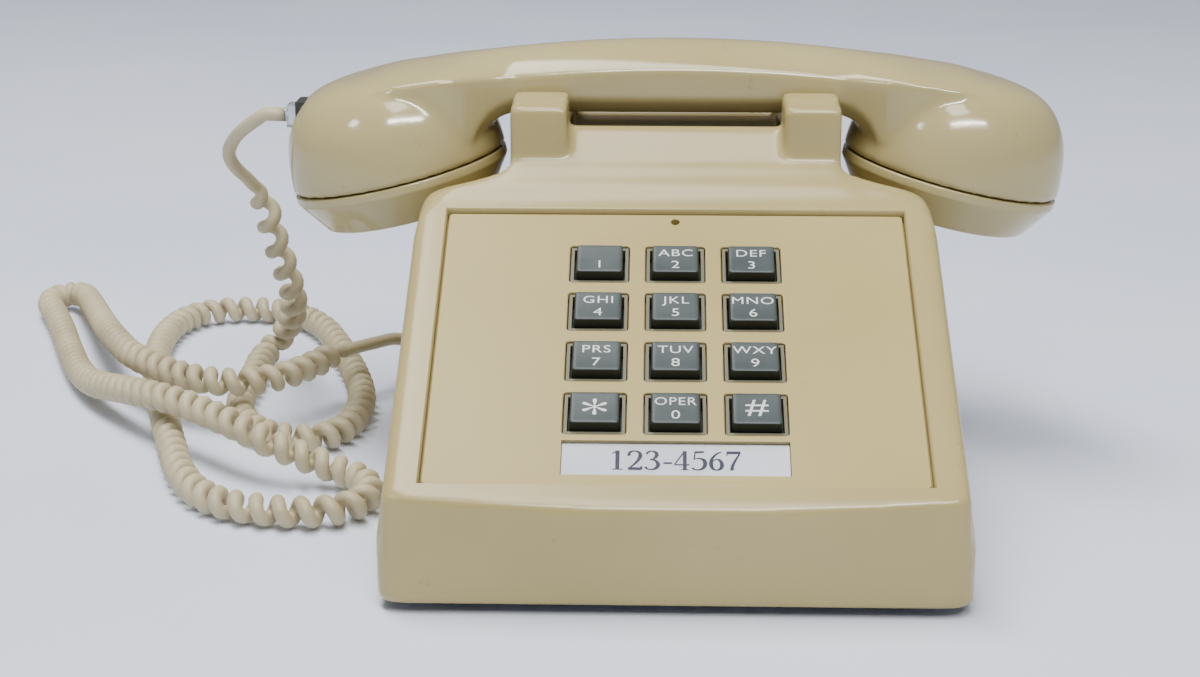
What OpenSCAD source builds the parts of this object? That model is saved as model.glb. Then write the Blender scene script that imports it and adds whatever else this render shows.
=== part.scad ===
// Push-button desk telephone with its handset in the cradle, as separate pieces.
// Millimetres, +Z up, the front faces -Y. The origin is on the surface it stands on,
// under the middle of the telephone.

/* [Housing] */
// Depth of the housing, from the front bulge to the back
body_depth = 214; // [210:1:218]
// Width of the housing at its widest, low on the sides
body_width = 143; // [141:0.5:146]
// Width of the housing across the sloping face
face_width = 139; // [137:0.5:141]
// Thickness of the housing's walls
wall = 2.6; // [2.2:0.1:3]
// Slope of the face above the horizontal, in degrees
face_angle = 28.5; // [28:0.25:29]
// Height of the face at the faceplate's lower edge
face_rise = 31.9; // [31:0.1:33]
// Length of the lip in front of the faceplate, along the slope
lip = 8; // [7:0.5:9]
// Length of the face from the faceplate's lower edge to the crease
face_length = 107.5; // [106.5:0.5:109]
// How far the front bows forward in plan
front_bow = 3.4; // [2:0.2:5]
// How far the front wall leans in at its foot
front_lean = 3; // [2:0.5:4]
// Height of the housing's bottom edge above the surface
edge_gap = 2; // [1.6:0.1:2.4]
// Height of the rear shoulders under the handset's ends
shoulder_height = 62.5; // [60:0.5:64]
// Height of the upright part of the back
back_height = 22; // [20:1:26]

/* [Cradle] */
// Distance of the handset's middle behind the faceplate's lower edge
cradle_back = 136; // [134:0.5:138]
// Width across the neck under the cradle
neck_width = 90; // [90:0.5:92]
// Height of the seat that the handle rests on
seat_height = 98.3; // [97.5:0.1:99]
// Height of the neck's rims before and behind the handle
rim_height = 97.4; // [96:0.1:98]
// Height of the hollow floor under the handle
trough_height = 92; // [91:0.5:93]
// Width of each ear
ear_width = 15.6; // [15:0.1:16]
// Length of an ear from front to back
ear_depth = 18.6; // [17:0.2:20]
// Height of the ear's top at its outer edge
ear_height = 104; // [103:0.2:105]
// Rise of the ear's top towards the handle
ear_rise = 1.7; // [1:0.1:2]
// Width of the finger hold behind the cradle
hold_width = 56; // [50:1:58]
// Height of the finger hold
hold_height = 22; // [18:1:23]
// Depth of the finger hold from the back rim inwards
hold_depth = 27; // [22:1:28]

/* [Faceplate] */
// Width of the faceplate
plate_width = 120.6; // [118:0.2:122]
// Length of the faceplate along the slope
plate_length = 98; // [97:0.2:98.6]
// Thickness of the faceplate
plate_thick = 2.6; // [2.4:0.1:2.8]
// How far the faceplate lies below the housing's face
plate_drop = 1.2; // [0.8:0.1:1.6]
// Gap round the faceplate
plate_gap = 0.6; // [0.4:0.1:0.8]
// Width of the ledge that carries the faceplate
ledge_width = 6; // [5:0.5:7]
// Width of the number card's window
card_width = 55; // [52:0.5:57]
// Height of the number card's window
card_height = 11.2; // [10.8:0.1:11.6]
// Distance of the window above the faceplate's lower edge
card_rise = 4; // [3.6:0.1:4.2]

/* [Keys] */
// Distance between key columns
key_pitch_x = 19.7; // [19.3:0.1:20.2]
// Distance between key rows
key_pitch_y = 18; // [17.8:0.1:18.2]
// Distance of the lowest row's middle above the faceplate's lower edge
key_rise = 24.3; // [24:0.1:24.8]
// Width of a key's opening
opening_width = 15.6; // [15.2:0.1:16]
// Height of a key's opening
opening_height = 14; // [13.8:0.1:14.3]
// Width of a key's cap
cap_width = 12.4; // [12:0.1:12.5]
// Height of a key's cap
cap_height = 10.8; // [10.5:0.1:11]
// How far a key stands out of the faceplate
key_proud = 2.2; // [1.8:0.1:2.6]
// Travel of a key
key_travel = 2.8; // [2.5:0.1:2.9]
// Depth of the keypad's case under the faceplate
pad_depth = 12.2; // [12:0.1:13]

/* [Handset] */
// Distance of each end's middle from the middle of the handset
end_reach = 79; // [78.8:0.2:79.6]
// Tilt of the ends' faces towards the middle, in degrees
end_tilt = 13.5; // [13:0.25:14]
// Radius of an end where its cap meets it
end_radius = 31.3; // [31:0.1:31.5]
// Height of an end above the cap's parting line
end_height = 29.6; // [29.2:0.2:30.4]
// Height of a screw-on cap
cap_depth = 12.1; // [11.5:0.1:12.6]
// Radius of a cap's flat face
cap_face_radius = 24.6; // [24:0.1:25.2]
// Drop from the handle's underside to the ends' parting line
end_drop = 18.1; // [17.8:0.1:18.4]
// Width of the handle
handle_width = 32; // [31.6:0.1:32.2]
// How far each side of the handle flares where it runs into an end
handle_flare = 7.3; // [6.5:0.1:7.5]
// Height of the handle at its middle
handle_height = 19.3; // [18.5:0.1:20.5]
// Radius of the handle's long upper arch
arch_radius = 413; // [400:1:430]
// Radius of the bore that holds a capsule
capsule_bore = 26.8; // [26.6:0.1:27]
// How far the handset is lifted off its cradle
lift_travel = 60; // [40:1:80]

/* [Works] */
// Thickness of the steel base plate
base_thick = 1.5; // [1.2:0.1:1.6]
// Height of a rubber foot
foot_height = 3; // [2.8:0.1:3.4]
// Radius of a rubber foot
foot_radius = 7; // [6:0.25:8]
// Radius of a cradle plunger
plunger_radius = 3; // [2.8:0.1:3.2]
// Travel of a cradle plunger
plunger_travel = 4.5; // [3.5:0.25:5]
// Radius of a gong
gong_radius = 25; // [24:0.25:25.5]
// Height of a gong
gong_height = 12; // [10:0.5:12.5]
// Radius of the clapper's ball
ball_radius = 3.5; // [3:0.1:3.6]
// Radius of the ringer's coil
coil_radius = 12; // [10:0.25:12.5]
// Radius of the volume wheel
wheel_radius = 14; // [13.5:0.1:14.1]
// Thickness of the volume wheel
wheel_thick = 5; // [4:0.25:5.5]

/* [Cord] */
// Diameter of the cord's cable
cable_dia = 3; // [2.7:0.1:3.1]
// Radius of the curls, to the middle of the cable
curl_radius = 3; // [2.8:0.05:3.1]
// Number of curls
curls = 88; // [60:1:90]

/* [Hidden] */
$fn = 48;

beige = "#c8b998";
charcoal = "#4d524f";
steel = "#a9acae";
brass = "#b99b52";
black = "#232323";
board_brown = "#5b4a2e";
case_grey = "#6f6a60";
winding = "#8a4b2a";
nylon = "#d8d4c8";
capsule_grey = "#9d8f6a";
clear = "#e8ecec";

// Small clearances
seat_gap = 0.3;   // between the handset and its seat
slide_gap = 0.15; // round a plunger
shaft_gap = 0.05; // round a turning pin
fit_gap = 0.1;    // round a plug or a screw

// ---- Places worked out from the sizes above ----
y_front = -body_depth / 2;
y_back = body_depth / 2;
face_y = y_front + lip * cos(face_angle);
inside_reach = 6;  // how far a cavity is cut below the housing's edge
join_y = 14;       // where the front part of the housing ends

// A point of the face's own frame as [y, z]: v runs up the slope and w stands out of it.
function face_point(v, w) =
  [face_y + v * cos(face_angle) - w * sin(face_angle),
   face_rise + v * sin(face_angle) + w * cos(face_angle)];

crease = face_point(face_length, 0);
lip_point = face_point(-lip, 0);
cradle_y = face_y + cradle_back;
ear_x = (neck_width - ear_width) / 2;
handle_under = seat_height + seat_gap;
handle_bevel = 4.2;
handle_side = 8.4;

// ---- Outlines ----
// The point where two edges meet, each moved inwards by its own amount.
function edge_line(a, b, t) =
  let (d = (b - a) / norm(b - a), n = [-d.y, d.x]) [a + n * t, d];
function meet(p, q) =
  let (k = p[1].x * q[1].y - p[1].y * q[1].x,
       r = q[0] - p[0])
  p[0] + p[1] * (r.x * q[1].y - r.y * q[1].x) / k;
// An outline that runs anticlockwise, with edge i moved inwards by t[i].
function inset(pts, t) =
  let (n = len(pts))
  [for (i = [0:n - 1])
    let (before = (i + n - 1) % n, after = (i + 1) % n)
    meet(edge_line(pts[before], pts[i], t[before]), edge_line(pts[i], pts[after], t[i]))];
// Corner c between p and n as an arc of radius r.
function corner(p, c, n, r, steps = 4) =
  let (u = (p - c) / norm(p - c), v = (n - c) / norm(n - c),
       half = acos(u * v) / 2,
       o = c + (u + v) / norm(u + v) * r / sin(half),
       a = c + u * r / tan(half) - o,
       b = c + v * r / tan(half) - o,
       a0 = atan2(a.y, a.x),
       turn = atan2(a.x * b.y - a.y * b.x, a * b))
  [for (i = [0:steps]) o + r * [cos(a0 + turn * i / steps), sin(a0 + turn * i / steps)]];
function rounded(pts, radii) =
  let (n = len(pts))
  [for (i = [0:n - 1])
    each radii[i] <= 0.05 ? [pts[i]]
      : corner(pts[(i + n - 1) % n], pts[i], pts[(i + 1) % n], radii[i])];
function shrunk(radii, t) = [for (r = radii) r - t];

// A (y, z) outline drawn out along X, and an (x, z) outline drawn out along Y.
module along_x(width) {
  rotate([90, 0, 90]) linear_extrude(width, center = true) children();
}
module along_y(y0, y1) {
  translate([0, y1, 0]) rotate([90, 0, 0]) linear_extrude(y1 - y0) children();
}
module on_face(v = 0, w = 0) {
  p = face_point(v, w);
  translate([0, p.x, p.y]) rotate([face_angle, 0, 0]) children();
}
module both_sides() {
  children();
  mirror([1, 0, 0]) children();
}
module slab(size, at) {
  translate([at.x - size.x / 2, at.y - size.y / 2, at.z]) cube(size);
}

// ---- Housing ----
// Plan of the body, bowed at the front and the back, drawn in by t.
function plan_points(t) =
  let (half = body_width / 2 - t, steps = [-1, -0.75, -0.5, -0.25, 0, 0.25, 0.5, 0.75, 1])
  concat(
    [for (k = steps) [half * k, y_front + t + front_bow * k * k]],
    [for (k = steps) [-half * k, y_back - t - front_bow * k * k]]);
function plan_radii(t) =
  let (n = 9)
  [for (i = [0:2 * n - 1])
    i == 0 || i == n - 1 ? 7 - t : i == n || i == 2 * n - 1 ? 16 - t : 0];
module plan(t) {
  polygon(rounded(plan_points(t), plan_radii(t)));
}

ridge = crease + [6.5, -2.7];
front_side = [
  [y_front + front_lean, edge_gap], [join_y, edge_gap], [join_y, 50], [8, shoulder_height],
  ridge, crease, lip_point];
front_side_radii = [2, 0, 0, 3, 2.5, 3, 2.6];
back_side = [
  [0, edge_gap], [y_back - front_lean, edge_gap], [y_back, back_height],
  [y_back - 7, 40], [84, 56], [join_y, shoulder_height], [0, shoulder_height]];
back_side_radii = [0, 2, 5, 10, 20, 6, 0];

function front_walls(t) =
  t > 0 ? [-inside_reach, 0, t, t, t, t, t] : [0, 0, 0, 0, 0, 0, 0];
function back_walls(t) = t > 0 ? [-inside_reach, t, t, t, t, t, 0] : [0, 0, 0, 0, 0, 0, 0];

// Half of the front part's outline seen from the front, from the foot up; the top falls
// away from the neck to the shoulders.
function front_half(t) = [
  [body_width / 2 - 0.4 - t, edge_gap - (t > 0 ? inside_reach : 0)],
  [body_width / 2 - t, 20], [face_width / 2 - t, 46], [face_width / 2 - t, 72],
  [face_width / 2 - 1 - t, crease.y - 5.6 - t], [face_width / 2 - 3.8 - t, crease.y - 3.6 - t],
  [face_width / 2 - 7.8 - t, crease.y - 1.6 - t], [neck_width / 2 - t, crease.y + 4.5 - t],
  [neck_width / 2 - t, 95]];
function both_halves(half) =
  concat(half, [for (i = [len(half) - 1:-1:0]) [-half[i].x, half[i].y]]);
function back_half(t) = [
  [body_width / 2 - 0.4 - t, edge_gap - (t > 0 ? inside_reach : 0)],
  [body_width / 2 - t, 20], [face_width / 2 - t, 46], [face_width / 2 - 1 - t, 56 - t],
  [58 - t, shoulder_height + 2 - t]];
front_half_radii = [5, 0, 0, 2, 2, 2, 0, 0, 0];
section_radii = concat(front_half_radii, [for (i = [8:-1:0]) front_half_radii[i]]);
back_half_radii = [5, 0, 0, 6, 10];
back_radii = concat(back_half_radii, [for (i = [4:-1:0]) back_half_radii[i]]);

module front_part(t) {
  intersection() {
    translate([0, 0, -20]) linear_extrude(140) plan(t);
    along_x(200) polygon(rounded(inset(front_side, front_walls(t)), shrunk(front_side_radii, t)));
    along_y(y_front - 5, join_y + 1)
      polygon(t > 0 ? both_halves(front_half(t)) : rounded(both_halves(front_half(0)), section_radii));
    // The face's long side edges are rounded along the slope.
    on_face(-40) translate([0, 200, 0]) rotate([90, 0, 0]) linear_extrude(240)
      polygon(rounded(
        [[-90, -150], [90, -150], [90, -30], [face_width / 2 + 0.4 - t, -12],
         [face_width / 2 - t, -t], [-face_width / 2 + t, -t],
         [-face_width / 2 - 0.4 + t, -12], [-90, -30]],
        [0, 0, 0, 0, 3.5, 3.5, 0, 0]));
  }
}
module back_part(t) {
  intersection() {
    translate([0, 0, -20]) linear_extrude(140) plan(t);
    along_x(200) polygon(rounded(inset(back_side, back_walls(t)), shrunk(back_side_radii, t)));
    along_y(-1, y_back + 5)
      polygon(t > 0 ? both_halves(back_half(t)) : rounded(both_halves(back_half(0)), back_radii));
  }
}

// The neck carries the cradle and flares into the shoulders.
neck_rear = cradle_y + (cradle_y - crease.x) - 3;
neck_top_y = crease.x + (rim_height - crease.y) * 0.95;
neck_side = [
  [crease.x - 3, 50], [y_back - 9, 36], [neck_rear, rim_height],
  [neck_top_y, rim_height], [crease.x, crease.y]];
neck_side_radii = [0, 0, 4, 2, 0];
module neck(t) {
  half = neck_width / 2 - t;
  top = rim_height - trough_height + t;
  intersection() {
    along_x(200)
      polygon(rounded(inset(neck_side, t > 0 ? [0, t, top, t, 0] : [0, 0, 0, 0, 0]),
        t > 0 ? [0, 0, 0, 0, 0] : neck_side_radii));
    along_y(crease.x - 4, y_back)
      polygon([[-half - 12, 30], [half + 12, 30], [half + 8, 60], [half + 2.5, 72],
               [half, 86], [half, 120], [-half, 120], [-half, 86], [-half - 2.5, 72],
               [-half - 8, 60]]);
  }
}
module neck_flare() {
  top = crease.y + 4.5;
  intersection() {
    along_x(200) polygon([crease, [crease.x - 2, 70], ridge + [4, -10.6], ridge + [-1.2, 3.2],
                          [crease.x + 0.95 * 4.5, top]]);
    along_y(crease.x - 5, 10)
      polygon([[-66, 60], [66, 60], [66, crease.y - 4.2], [neck_width / 2, top],
               [-neck_width / 2, top], [-66, crease.y - 4.2]]);
  }
}

// Side view of an ear pair with the seat between them; it hugs the handle's lower edge.
grip_y = handle_width / 2 + 0.4;
function ear_half() = [
  [-(grip_y + ear_depth - 0.8), ear_height], [-(grip_y + 0.8), ear_height + ear_rise],
  [-grip_y, ear_height + ear_rise - 0.8], [-grip_y, handle_under + handle_bevel - 0.1],
  [-(grip_y - handle_bevel), seat_height]];
ear_profile = concat(
  [[-(grip_y + ear_depth), 88]],
  [[-(grip_y + ear_depth), ear_height - 0.8]],
  ear_half(),
  [for (i = [4:-1:0]) [-ear_half()[i].x, ear_half()[i].y]],
  [[grip_y + ear_depth, ear_height - 0.8]],
  [[grip_y + ear_depth, 88]]);
module ears() {
  both_sides()
    translate([ear_x, cradle_y, 0]) along_x(ear_width) polygon(ear_profile);
}

hold_floor = trough_height - 6 - hold_height;
module hold_space(t) {
  translate([-hold_width / 2 - t, cradle_y + grip_y + ear_depth - hold_depth - t + 2, hold_floor - t])
    cube([hold_width + 2 * t, 80, hold_height + (t > 0 ? t + 6 : 0)]);
}

boss_x = body_width / 2 - 9;
boss_radius = 4.5;
boss_y = [y_front + 37, y_back - 52];
base_top = foot_height + base_thick;
module bosses() {
  for (y = boss_y) {
    both_sides() {
      translate([boss_x, y, base_top + seat_gap]) cylinder(r = boss_radius, h = 28);
      translate([boss_x, y - 1.5, base_top + seat_gap]) cube([7.5, 3, 28]);
    }
  }
}

jack_z = 13;
line_jack_x = -20;
handset_jack_y = y_back - 19;
recess_depth = plate_drop + plate_thick + fit_gap;
frame_thick = recess_depth + 2.5;

module housing() {
  color(beige) difference() {
    union() {
      difference() {
        union() {
          front_part(0);
          back_part(0);
          neck(0);
          neck_flare();
        }
        front_part(wall);
        back_part(wall);
        neck(wall);
        // The trough under the handle, from rim to rim
        slab([2 * neck_width, 2 * grip_y + 14, 40], [0, cradle_y, trough_height]);
      }
      ears();
      intersection() {
        union() {
          front_part(0.4);
          back_part(0.4);
        }
        union() {
          bosses();
          on_face()
            translate([-plate_width / 2 - 4.4, -3.5, -frame_thick])
              cube([plate_width + 8.8, plate_length + 7, frame_thick - 0.6]);
        }
      }
      intersection() {
        neck(0.4);
        hold_space(wall);
      }
    }
    hold_space(0);
    on_face() {
      translate([-plate_width / 2 - plate_gap, 0, -recess_depth])
        cube([plate_width + 2 * plate_gap, plate_length + 2 * plate_gap, 20]);
      translate([-plate_width / 2 + ledge_width, ledge_width, -frame_thick - 1])
        cube([plate_width - 2 * ledge_width, plate_length - 2 * ledge_width, 30]);
    }
    for (x = [-ear_x, ear_x])
      translate([x, cradle_y, trough_height - 12])
        cylinder(r = plunger_radius + slide_gap, h = 30);
    for (x = [-boss_x, boss_x], y = boss_y)
      translate([x, y, 0]) cylinder(r = screw_radius + fit_gap, h = base_top + 12);
    // Windows for the two jacks
    slab([jack_size + 0.4, 30, jack_size + 0.4], [line_jack_x, y_back, jack_z - jack_size / 2 - 0.2]);
    slab([30, jack_size + 0.4, jack_size + 0.4],
      [-body_width / 2, handset_jack_y, jack_z - jack_size / 2 - 0.2]);
  }
}

// ---- Faceplate and card ----
function key_place(column, row) =
  [(column - 1) * key_pitch_x, key_rise + (3 - row) * key_pitch_y];
key_places = [for (row = [0:3], column = [0:2]) key_place(column, row)];
plate_top = -plate_drop;
card_v = card_rise + card_height / 2;
card_deep = 1.4;

module faceplate() {
  color(beige) on_face() difference() {
    translate([-plate_width / 2, plate_gap, plate_top - plate_thick])
      cube([plate_width, plate_length - plate_gap, plate_thick]);
    for (p = key_places)
      translate([p.x - opening_width / 2, p.y - opening_height / 2, plate_top - plate_thick - 1])
        cube([opening_width, opening_height, plate_thick + 2]);
    translate([-card_width / 2, card_rise, plate_top - card_deep])
      cube([card_width, card_height, 5]);
    translate([0, plate_length - 3, plate_top - plate_thick - 1])
      cylinder(r = 1.2, h = plate_thick + 2);
  }
}
module number_card() {
  color("white") on_face()
    translate([-card_width / 2 + 0.2, card_rise + 0.2, plate_top - card_deep])
      cube([card_width - 0.4, card_height - 0.4, 0.4]);
}
module card_window() {
  color(clear, 0.4) on_face()
    translate([-card_width / 2 + 0.1, card_rise + 0.1, plate_top - card_deep + 0.4])
      cube([card_width - 0.2, card_height - 0.2, 0.8]);
}

// ---- Keypad ----
deck_top = plate_top - plate_thick - seat_gap;
deck_thick = 1.5;
collar_wall = 0.8;
collar_gap = 0.35;
pad_low = deck_top - pad_depth;
pad_half = key_pitch_x + opening_width / 2 + 7;
pad_v0 = key_rise - opening_height / 2 - 2.5;
pad_length = 3 * key_pitch_y + opening_height + 5;
board_thick = 1.6;

module keypad_frame() {
  color(charcoal) on_face() difference() {
    union() {
      translate([-pad_half, pad_v0, deck_top - deck_thick])
        cube([2 * pad_half, pad_length, deck_thick]);
      for (x = [-pad_half, pad_half - 1.5])
        translate([x, pad_v0, pad_low]) cube([1.5, pad_length, pad_depth - deck_thick]);
      for (v = [pad_v0, pad_v0 + pad_length - 1.5])
        translate([-pad_half, v, pad_low]) cube([2 * pad_half, 1.5, pad_depth - deck_thick]);
      for (p = key_places)
        translate([p.x - opening_width / 2 + collar_gap, p.y - opening_height / 2 + collar_gap,
                   deck_top - deck_thick])
          cube([opening_width - 2 * collar_gap, opening_height - 2 * collar_gap,
                plate_top - 0.5 - deck_top + deck_thick]);
    }
    for (p = key_places)
      translate([p.x - opening_width / 2 + collar_gap + collar_wall,
                 p.y - opening_height / 2 + collar_gap + collar_wall, deck_top - deck_thick - 1])
        cube([opening_width - 2 * (collar_gap + collar_wall),
              opening_height - 2 * (collar_gap + collar_wall), 12]);
  }
}
module keypad_board() {
  color(board_brown) on_face() {
    translate([-pad_half + 0.5, pad_v0 + 0.5, pad_low - board_thick])
      cube([2 * pad_half - 1, pad_length - 1, board_thick]);
    for (p = key_places)
      translate([p.x, p.y, pad_low - 0.1]) cylinder(r = 2.6, h = 0.4);
  }
}

flange_thick = 1;
flange_top = deck_top - deck_thick - seat_gap;
stem_low = pad_low + key_travel + 0.6;
module key(column, row) {
  p = key_place(column, row);
  color(charcoal) on_face() translate([p.x, p.y, 0]) {
    difference() {
      translate([-cap_width / 2, -cap_height / 2, flange_top - flange_thick])
        cube([cap_width, cap_height, plate_top + key_proud - flange_top + flange_thick]);
      // The finger dish in the cap's top
      translate([0, 0, plate_top + key_proud + 58]) rotate([0, 90, 0])
        cylinder(r = 58.25, h = 30, center = true, $fn = 180);
    }
    slab([opening_width - 1.6, opening_height - 1.6, flange_thick],
      [0, 0, flange_top - flange_thick]);
    slab([5, 5, flange_top - stem_low], [0, 0, stem_low]);
  }
}

// ---- Base ----
screw_radius = 1.75;
head_radius = 3.4;
head_thick = 1.6;
// The outline inside the walls at their foot, where the front and the back lean in
module base_outline(t) {
  intersection() {
    plan(t);
    translate([-body_width / 2, y_front + front_lean + t])
      square([body_width, body_depth - 2 * (front_lean + t)]);
  }
}
wheel_x = 40;
wheel_y = y_front + 27;
wheel_z = 1.4 + wheel_radius;
module base_plate() {
  color(steel) difference() {
    translate([0, 0, foot_height]) linear_extrude(base_thick) base_outline(wall + 0.9);
    for (x = [-boss_x, boss_x], y = boss_y)
      translate([x, y, 0]) cylinder(r = screw_radius + fit_gap, h = 10);
    slab([wheel_thick + 1.6, 2 * wheel_radius + 1, 10], [wheel_x, wheel_y, 0]);
  }
}
module rubber_feet() {
  color(black)
    for (x = [-55, 55], y = [y_front + 17, y_back - 20])
      translate([x, y, 0]) rotate_extrude()
        polygon([[0, 0], [foot_radius - 1, 0], [foot_radius, 1], [foot_radius, foot_height],
                 [0, foot_height]]);
}
module base_screws() {
  color(steel)
    for (x = [-boss_x, boss_x], y = boss_y) translate([x, y, 0]) {
      translate([0, 0, foot_height - head_thick]) cylinder(r = head_radius, h = head_thick);
      translate([0, 0, foot_height - 0.5]) cylinder(r = screw_radius, h = base_thick + 9);
    }
}

// ---- Hook switch ----
lever_reach = 28;
lever_y = cradle_y - lever_reach;
plunger_low = 70;
lever_top = plunger_low - seat_gap;
lever_thick = 1.6;
hub_z = lever_top - 2.7;
hub_radius = 3.4;
hook_pin_radius = 1.5;
bracket_x = 30;

module plunger(x) {
  color(nylon) translate([x, cradle_y, plunger_low]) {
    cylinder(r = plunger_radius, h = seat_height - plunger_low);
    cylinder(r = plunger_radius + 1.5, h = 3);
  }
}
module hook_bracket() {
  color(steel) difference() {
    union() {
      both_sides() {
        translate([bracket_x - 0.8, lever_y - 6, base_top]) cube([1.6, 12, hub_z + 5 - base_top]);
        translate([bracket_x - 0.8, lever_y - 6, base_top]) cube([9, 12, 1.6]);
      }
      translate([-bracket_x, lever_y - 6, 38]) cube([2 * bracket_x, 1.6, 10]);
    }
    translate([0, lever_y, hub_z]) rotate([0, 90, 0])
      cylinder(r = hook_pin_radius + shaft_gap, h = 100, center = true);
  }
}
module hook_pin() {
  color(steel) translate([0, lever_y, hub_z]) rotate([0, 90, 0])
    cylinder(r = hook_pin_radius, h = 2 * bracket_x + 4, center = true);
}
module hook_lever() {
  hub_half = bracket_x - 6;
  color(steel) difference() {
    union() {
      translate([0, lever_y, hub_z]) rotate([0, 90, 0])
        cylinder(r = hub_radius, h = 2 * hub_half, center = true);
      translate([-hub_half, lever_y, lever_top - lever_thick]) cube([2 * hub_half, 14, lever_thick]);
      translate([-ear_x - 3, lever_y + 12, lever_top - lever_thick])
        cube([2 * ear_x + 6, 4, lever_thick]);
      for (x = [-ear_x, ear_x])
        translate([x - 3, lever_y + 12, lever_top - lever_thick])
          cube([6, lever_reach - 12 + 3, lever_thick]);
    }
    translate([0, lever_y, hub_z]) rotate([0, 90, 0])
      cylinder(r = hook_pin_radius + shaft_gap, h = 100, center = true);
  }
}
module hook_springs() {
  color(steel) both_sides()
    translate([bracket_x - 5.7, lever_y, hub_z]) rotate([0, 90, 0]) difference() {
      cylinder(r = hub_radius - 0.3, h = 4.6);
      translate([0, 0, -1]) cylinder(r = hook_pin_radius + 0.2, h = 7);
    }
}
module hook_contacts() {
  pile_x = -bracket_x + 0.8;
  color(brass) {
    translate([pile_x, lever_y - 4.4, 42]) cube([9, 10.4, 15]);
    for (y = [-3, 0, 3])
      translate([pile_x + 1, lever_y + y - 0.2, 57]) cube([7, 0.4, hub_z - hub_radius - 57.4]);
  }
}

// ---- Network ----
network_at = [31, y_back - 47, base_top];
network_size = [44, 48, 24];
module network_box() {
  color(case_grey) difference() {
    slab(network_size, network_at);
    for (x = [-1, 1], y = [-1, 1])
      translate([network_at.x + x * 19, network_at.y + y * 21, network_at.z + network_size.z - 4])
        cylinder(r = 1.6, h = 6);
  }
}
module network_terminals() {
  color(brass)
    for (x = [-12, 0, 12], y = [-15, -5, 5, 15])
      translate([network_at.x + x, network_at.y + y, network_at.z + network_size.z])
        cylinder(r = 2.6, h = 1.8);
}

// ---- Ringer ----
ball_space = 4.1;  // from the ball at rest to each gong
gong_x = gong_radius + ball_radius + ball_space;
gong_y = y_front + 69;
gong_low = base_top + 9;
gong_top = gong_low + gong_height;
clapper_y = gong_y + gong_radius + 2;
coil_y = clapper_y + coil_radius + 3;
ringer_plate = 2;  // thickness of the ringer's steel
ringer_top = base_top + ringer_plate;
coil_z = ringer_top + coil_radius + 1.5;
cheek_x = coil_radius + 8;
cheek_depth = 2 * coil_radius - 8;
core_radius = coil_radius / 3;
post_radius = 4;
yoke_depth = 3.5 * post_radius;
yoke_width = 2 * cheek_x - 6;
clapper_pin_radius = 1.5;
gong_screw_radius = 1.55;
bore_cut = body_width;  // longer than any shaft

module ringer_frame() {
  yoke_end = coil_y + coil_radius - 2;
  color(steel) difference() {
    union() {
      slab([2 * gong_x + 4 * post_radius, yoke_depth, ringer_plate], [0, gong_y, base_top]);
      slab([yoke_width, yoke_end - gong_y, ringer_plate],
        [0, (yoke_end + gong_y) / 2, base_top]);
      both_sides() {
        translate([gong_x, gong_y, base_top])
          cylinder(r = post_radius, h = gong_top - 1.3 - base_top);
        translate([cheek_x - ringer_plate / 2, coil_y - cheek_depth / 2, base_top])
          cube([ringer_plate, cheek_depth, coil_z + core_radius + 2 - base_top]);
        translate([cheek_x - 5, coil_y - cheek_depth / 2, base_top])
          cube([6, cheek_depth, ringer_plate]);
      }
    }
    translate([0, coil_y, coil_z]) rotate([0, 90, 0])
      cylinder(r = core_radius + shaft_gap, h = bore_cut, center = true);
    both_sides()
      translate([gong_x, gong_y, base_top + 4])
        cylinder(r = gong_screw_radius + shaft_gap, h = gong_top);
    translate([0, clapper_y, base_top + 1]) cylinder(r = clapper_pin_radius + shaft_gap, h = 5);
  }
}
module ringer_coil() {
  color(winding) translate([0, coil_y, coil_z]) rotate([0, 90, 0]) difference() {
    union() {
      cylinder(r = coil_radius - 1, h = 2 * cheek_x - 3, center = true);
      for (x = [-1, 1])
        translate([0, 0, x * (cheek_x - 2.2)]) cylinder(r = coil_radius, h = 1.4, center = true);
    }
    cylinder(r = core_radius + shaft_gap, h = bore_cut, center = true);
  }
}
module ringer_core() {
  color(steel) translate([0, coil_y, coil_z]) rotate([0, 90, 0])
    cylinder(r = core_radius, h = 2 * cheek_x + 6, center = true);
}
module gong(side) {
  r = gong_radius;
  h = gong_height;
  bore = gong_screw_radius + 0.35;
  color(brass) translate([side * gong_x, gong_y, gong_low]) rotate_extrude($fn = 96)
    polygon([[r - 1.2, 0], [r, 0], [r, h * 0.35], [r - 2, h * 0.65], [r - 6, h * 0.88],
             [r - 11, h], [bore, h], [bore, h - 1.2], [r - 11.3, h - 1.2],
             [r - 6.9, h * 0.88 - 1.1], [r - 3, h * 0.62], [r - 1.2, h * 0.33]]);
}
module gong_screws() {
  color(steel) both_sides() translate([gong_x, gong_y, 0]) {
    translate([0, 0, gong_top]) cylinder(r = post_radius, h = 1.8);
    translate([0, 0, gong_top - 7]) cylinder(r = gong_screw_radius, h = 8);
  }
}
module clapper_pin() {
  color(steel) translate([0, clapper_y, base_top + 1]) {
    cylinder(r = clapper_pin_radius, h = 14);
    translate([0, 0, 14]) cylinder(r = clapper_pin_radius + 1, h = 1);
  }
}
module clapper() {
  arm_z = gong_low + 1;
  color(steel) difference() {
    union() {
      translate([0, clapper_y, arm_z - 2]) cylinder(r = 3.6, h = 5);
      translate([-0.8, gong_y, arm_z]) cube([1.6, clapper_y - gong_y, 1.6]);
      translate([0, gong_y, arm_z + 0.8]) sphere(r = ball_radius);
    }
    translate([0, clapper_y, arm_z - 5]) cylinder(r = clapper_pin_radius + shaft_gap, h = 12);
  }
}
spindle_radius = 2;
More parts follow.
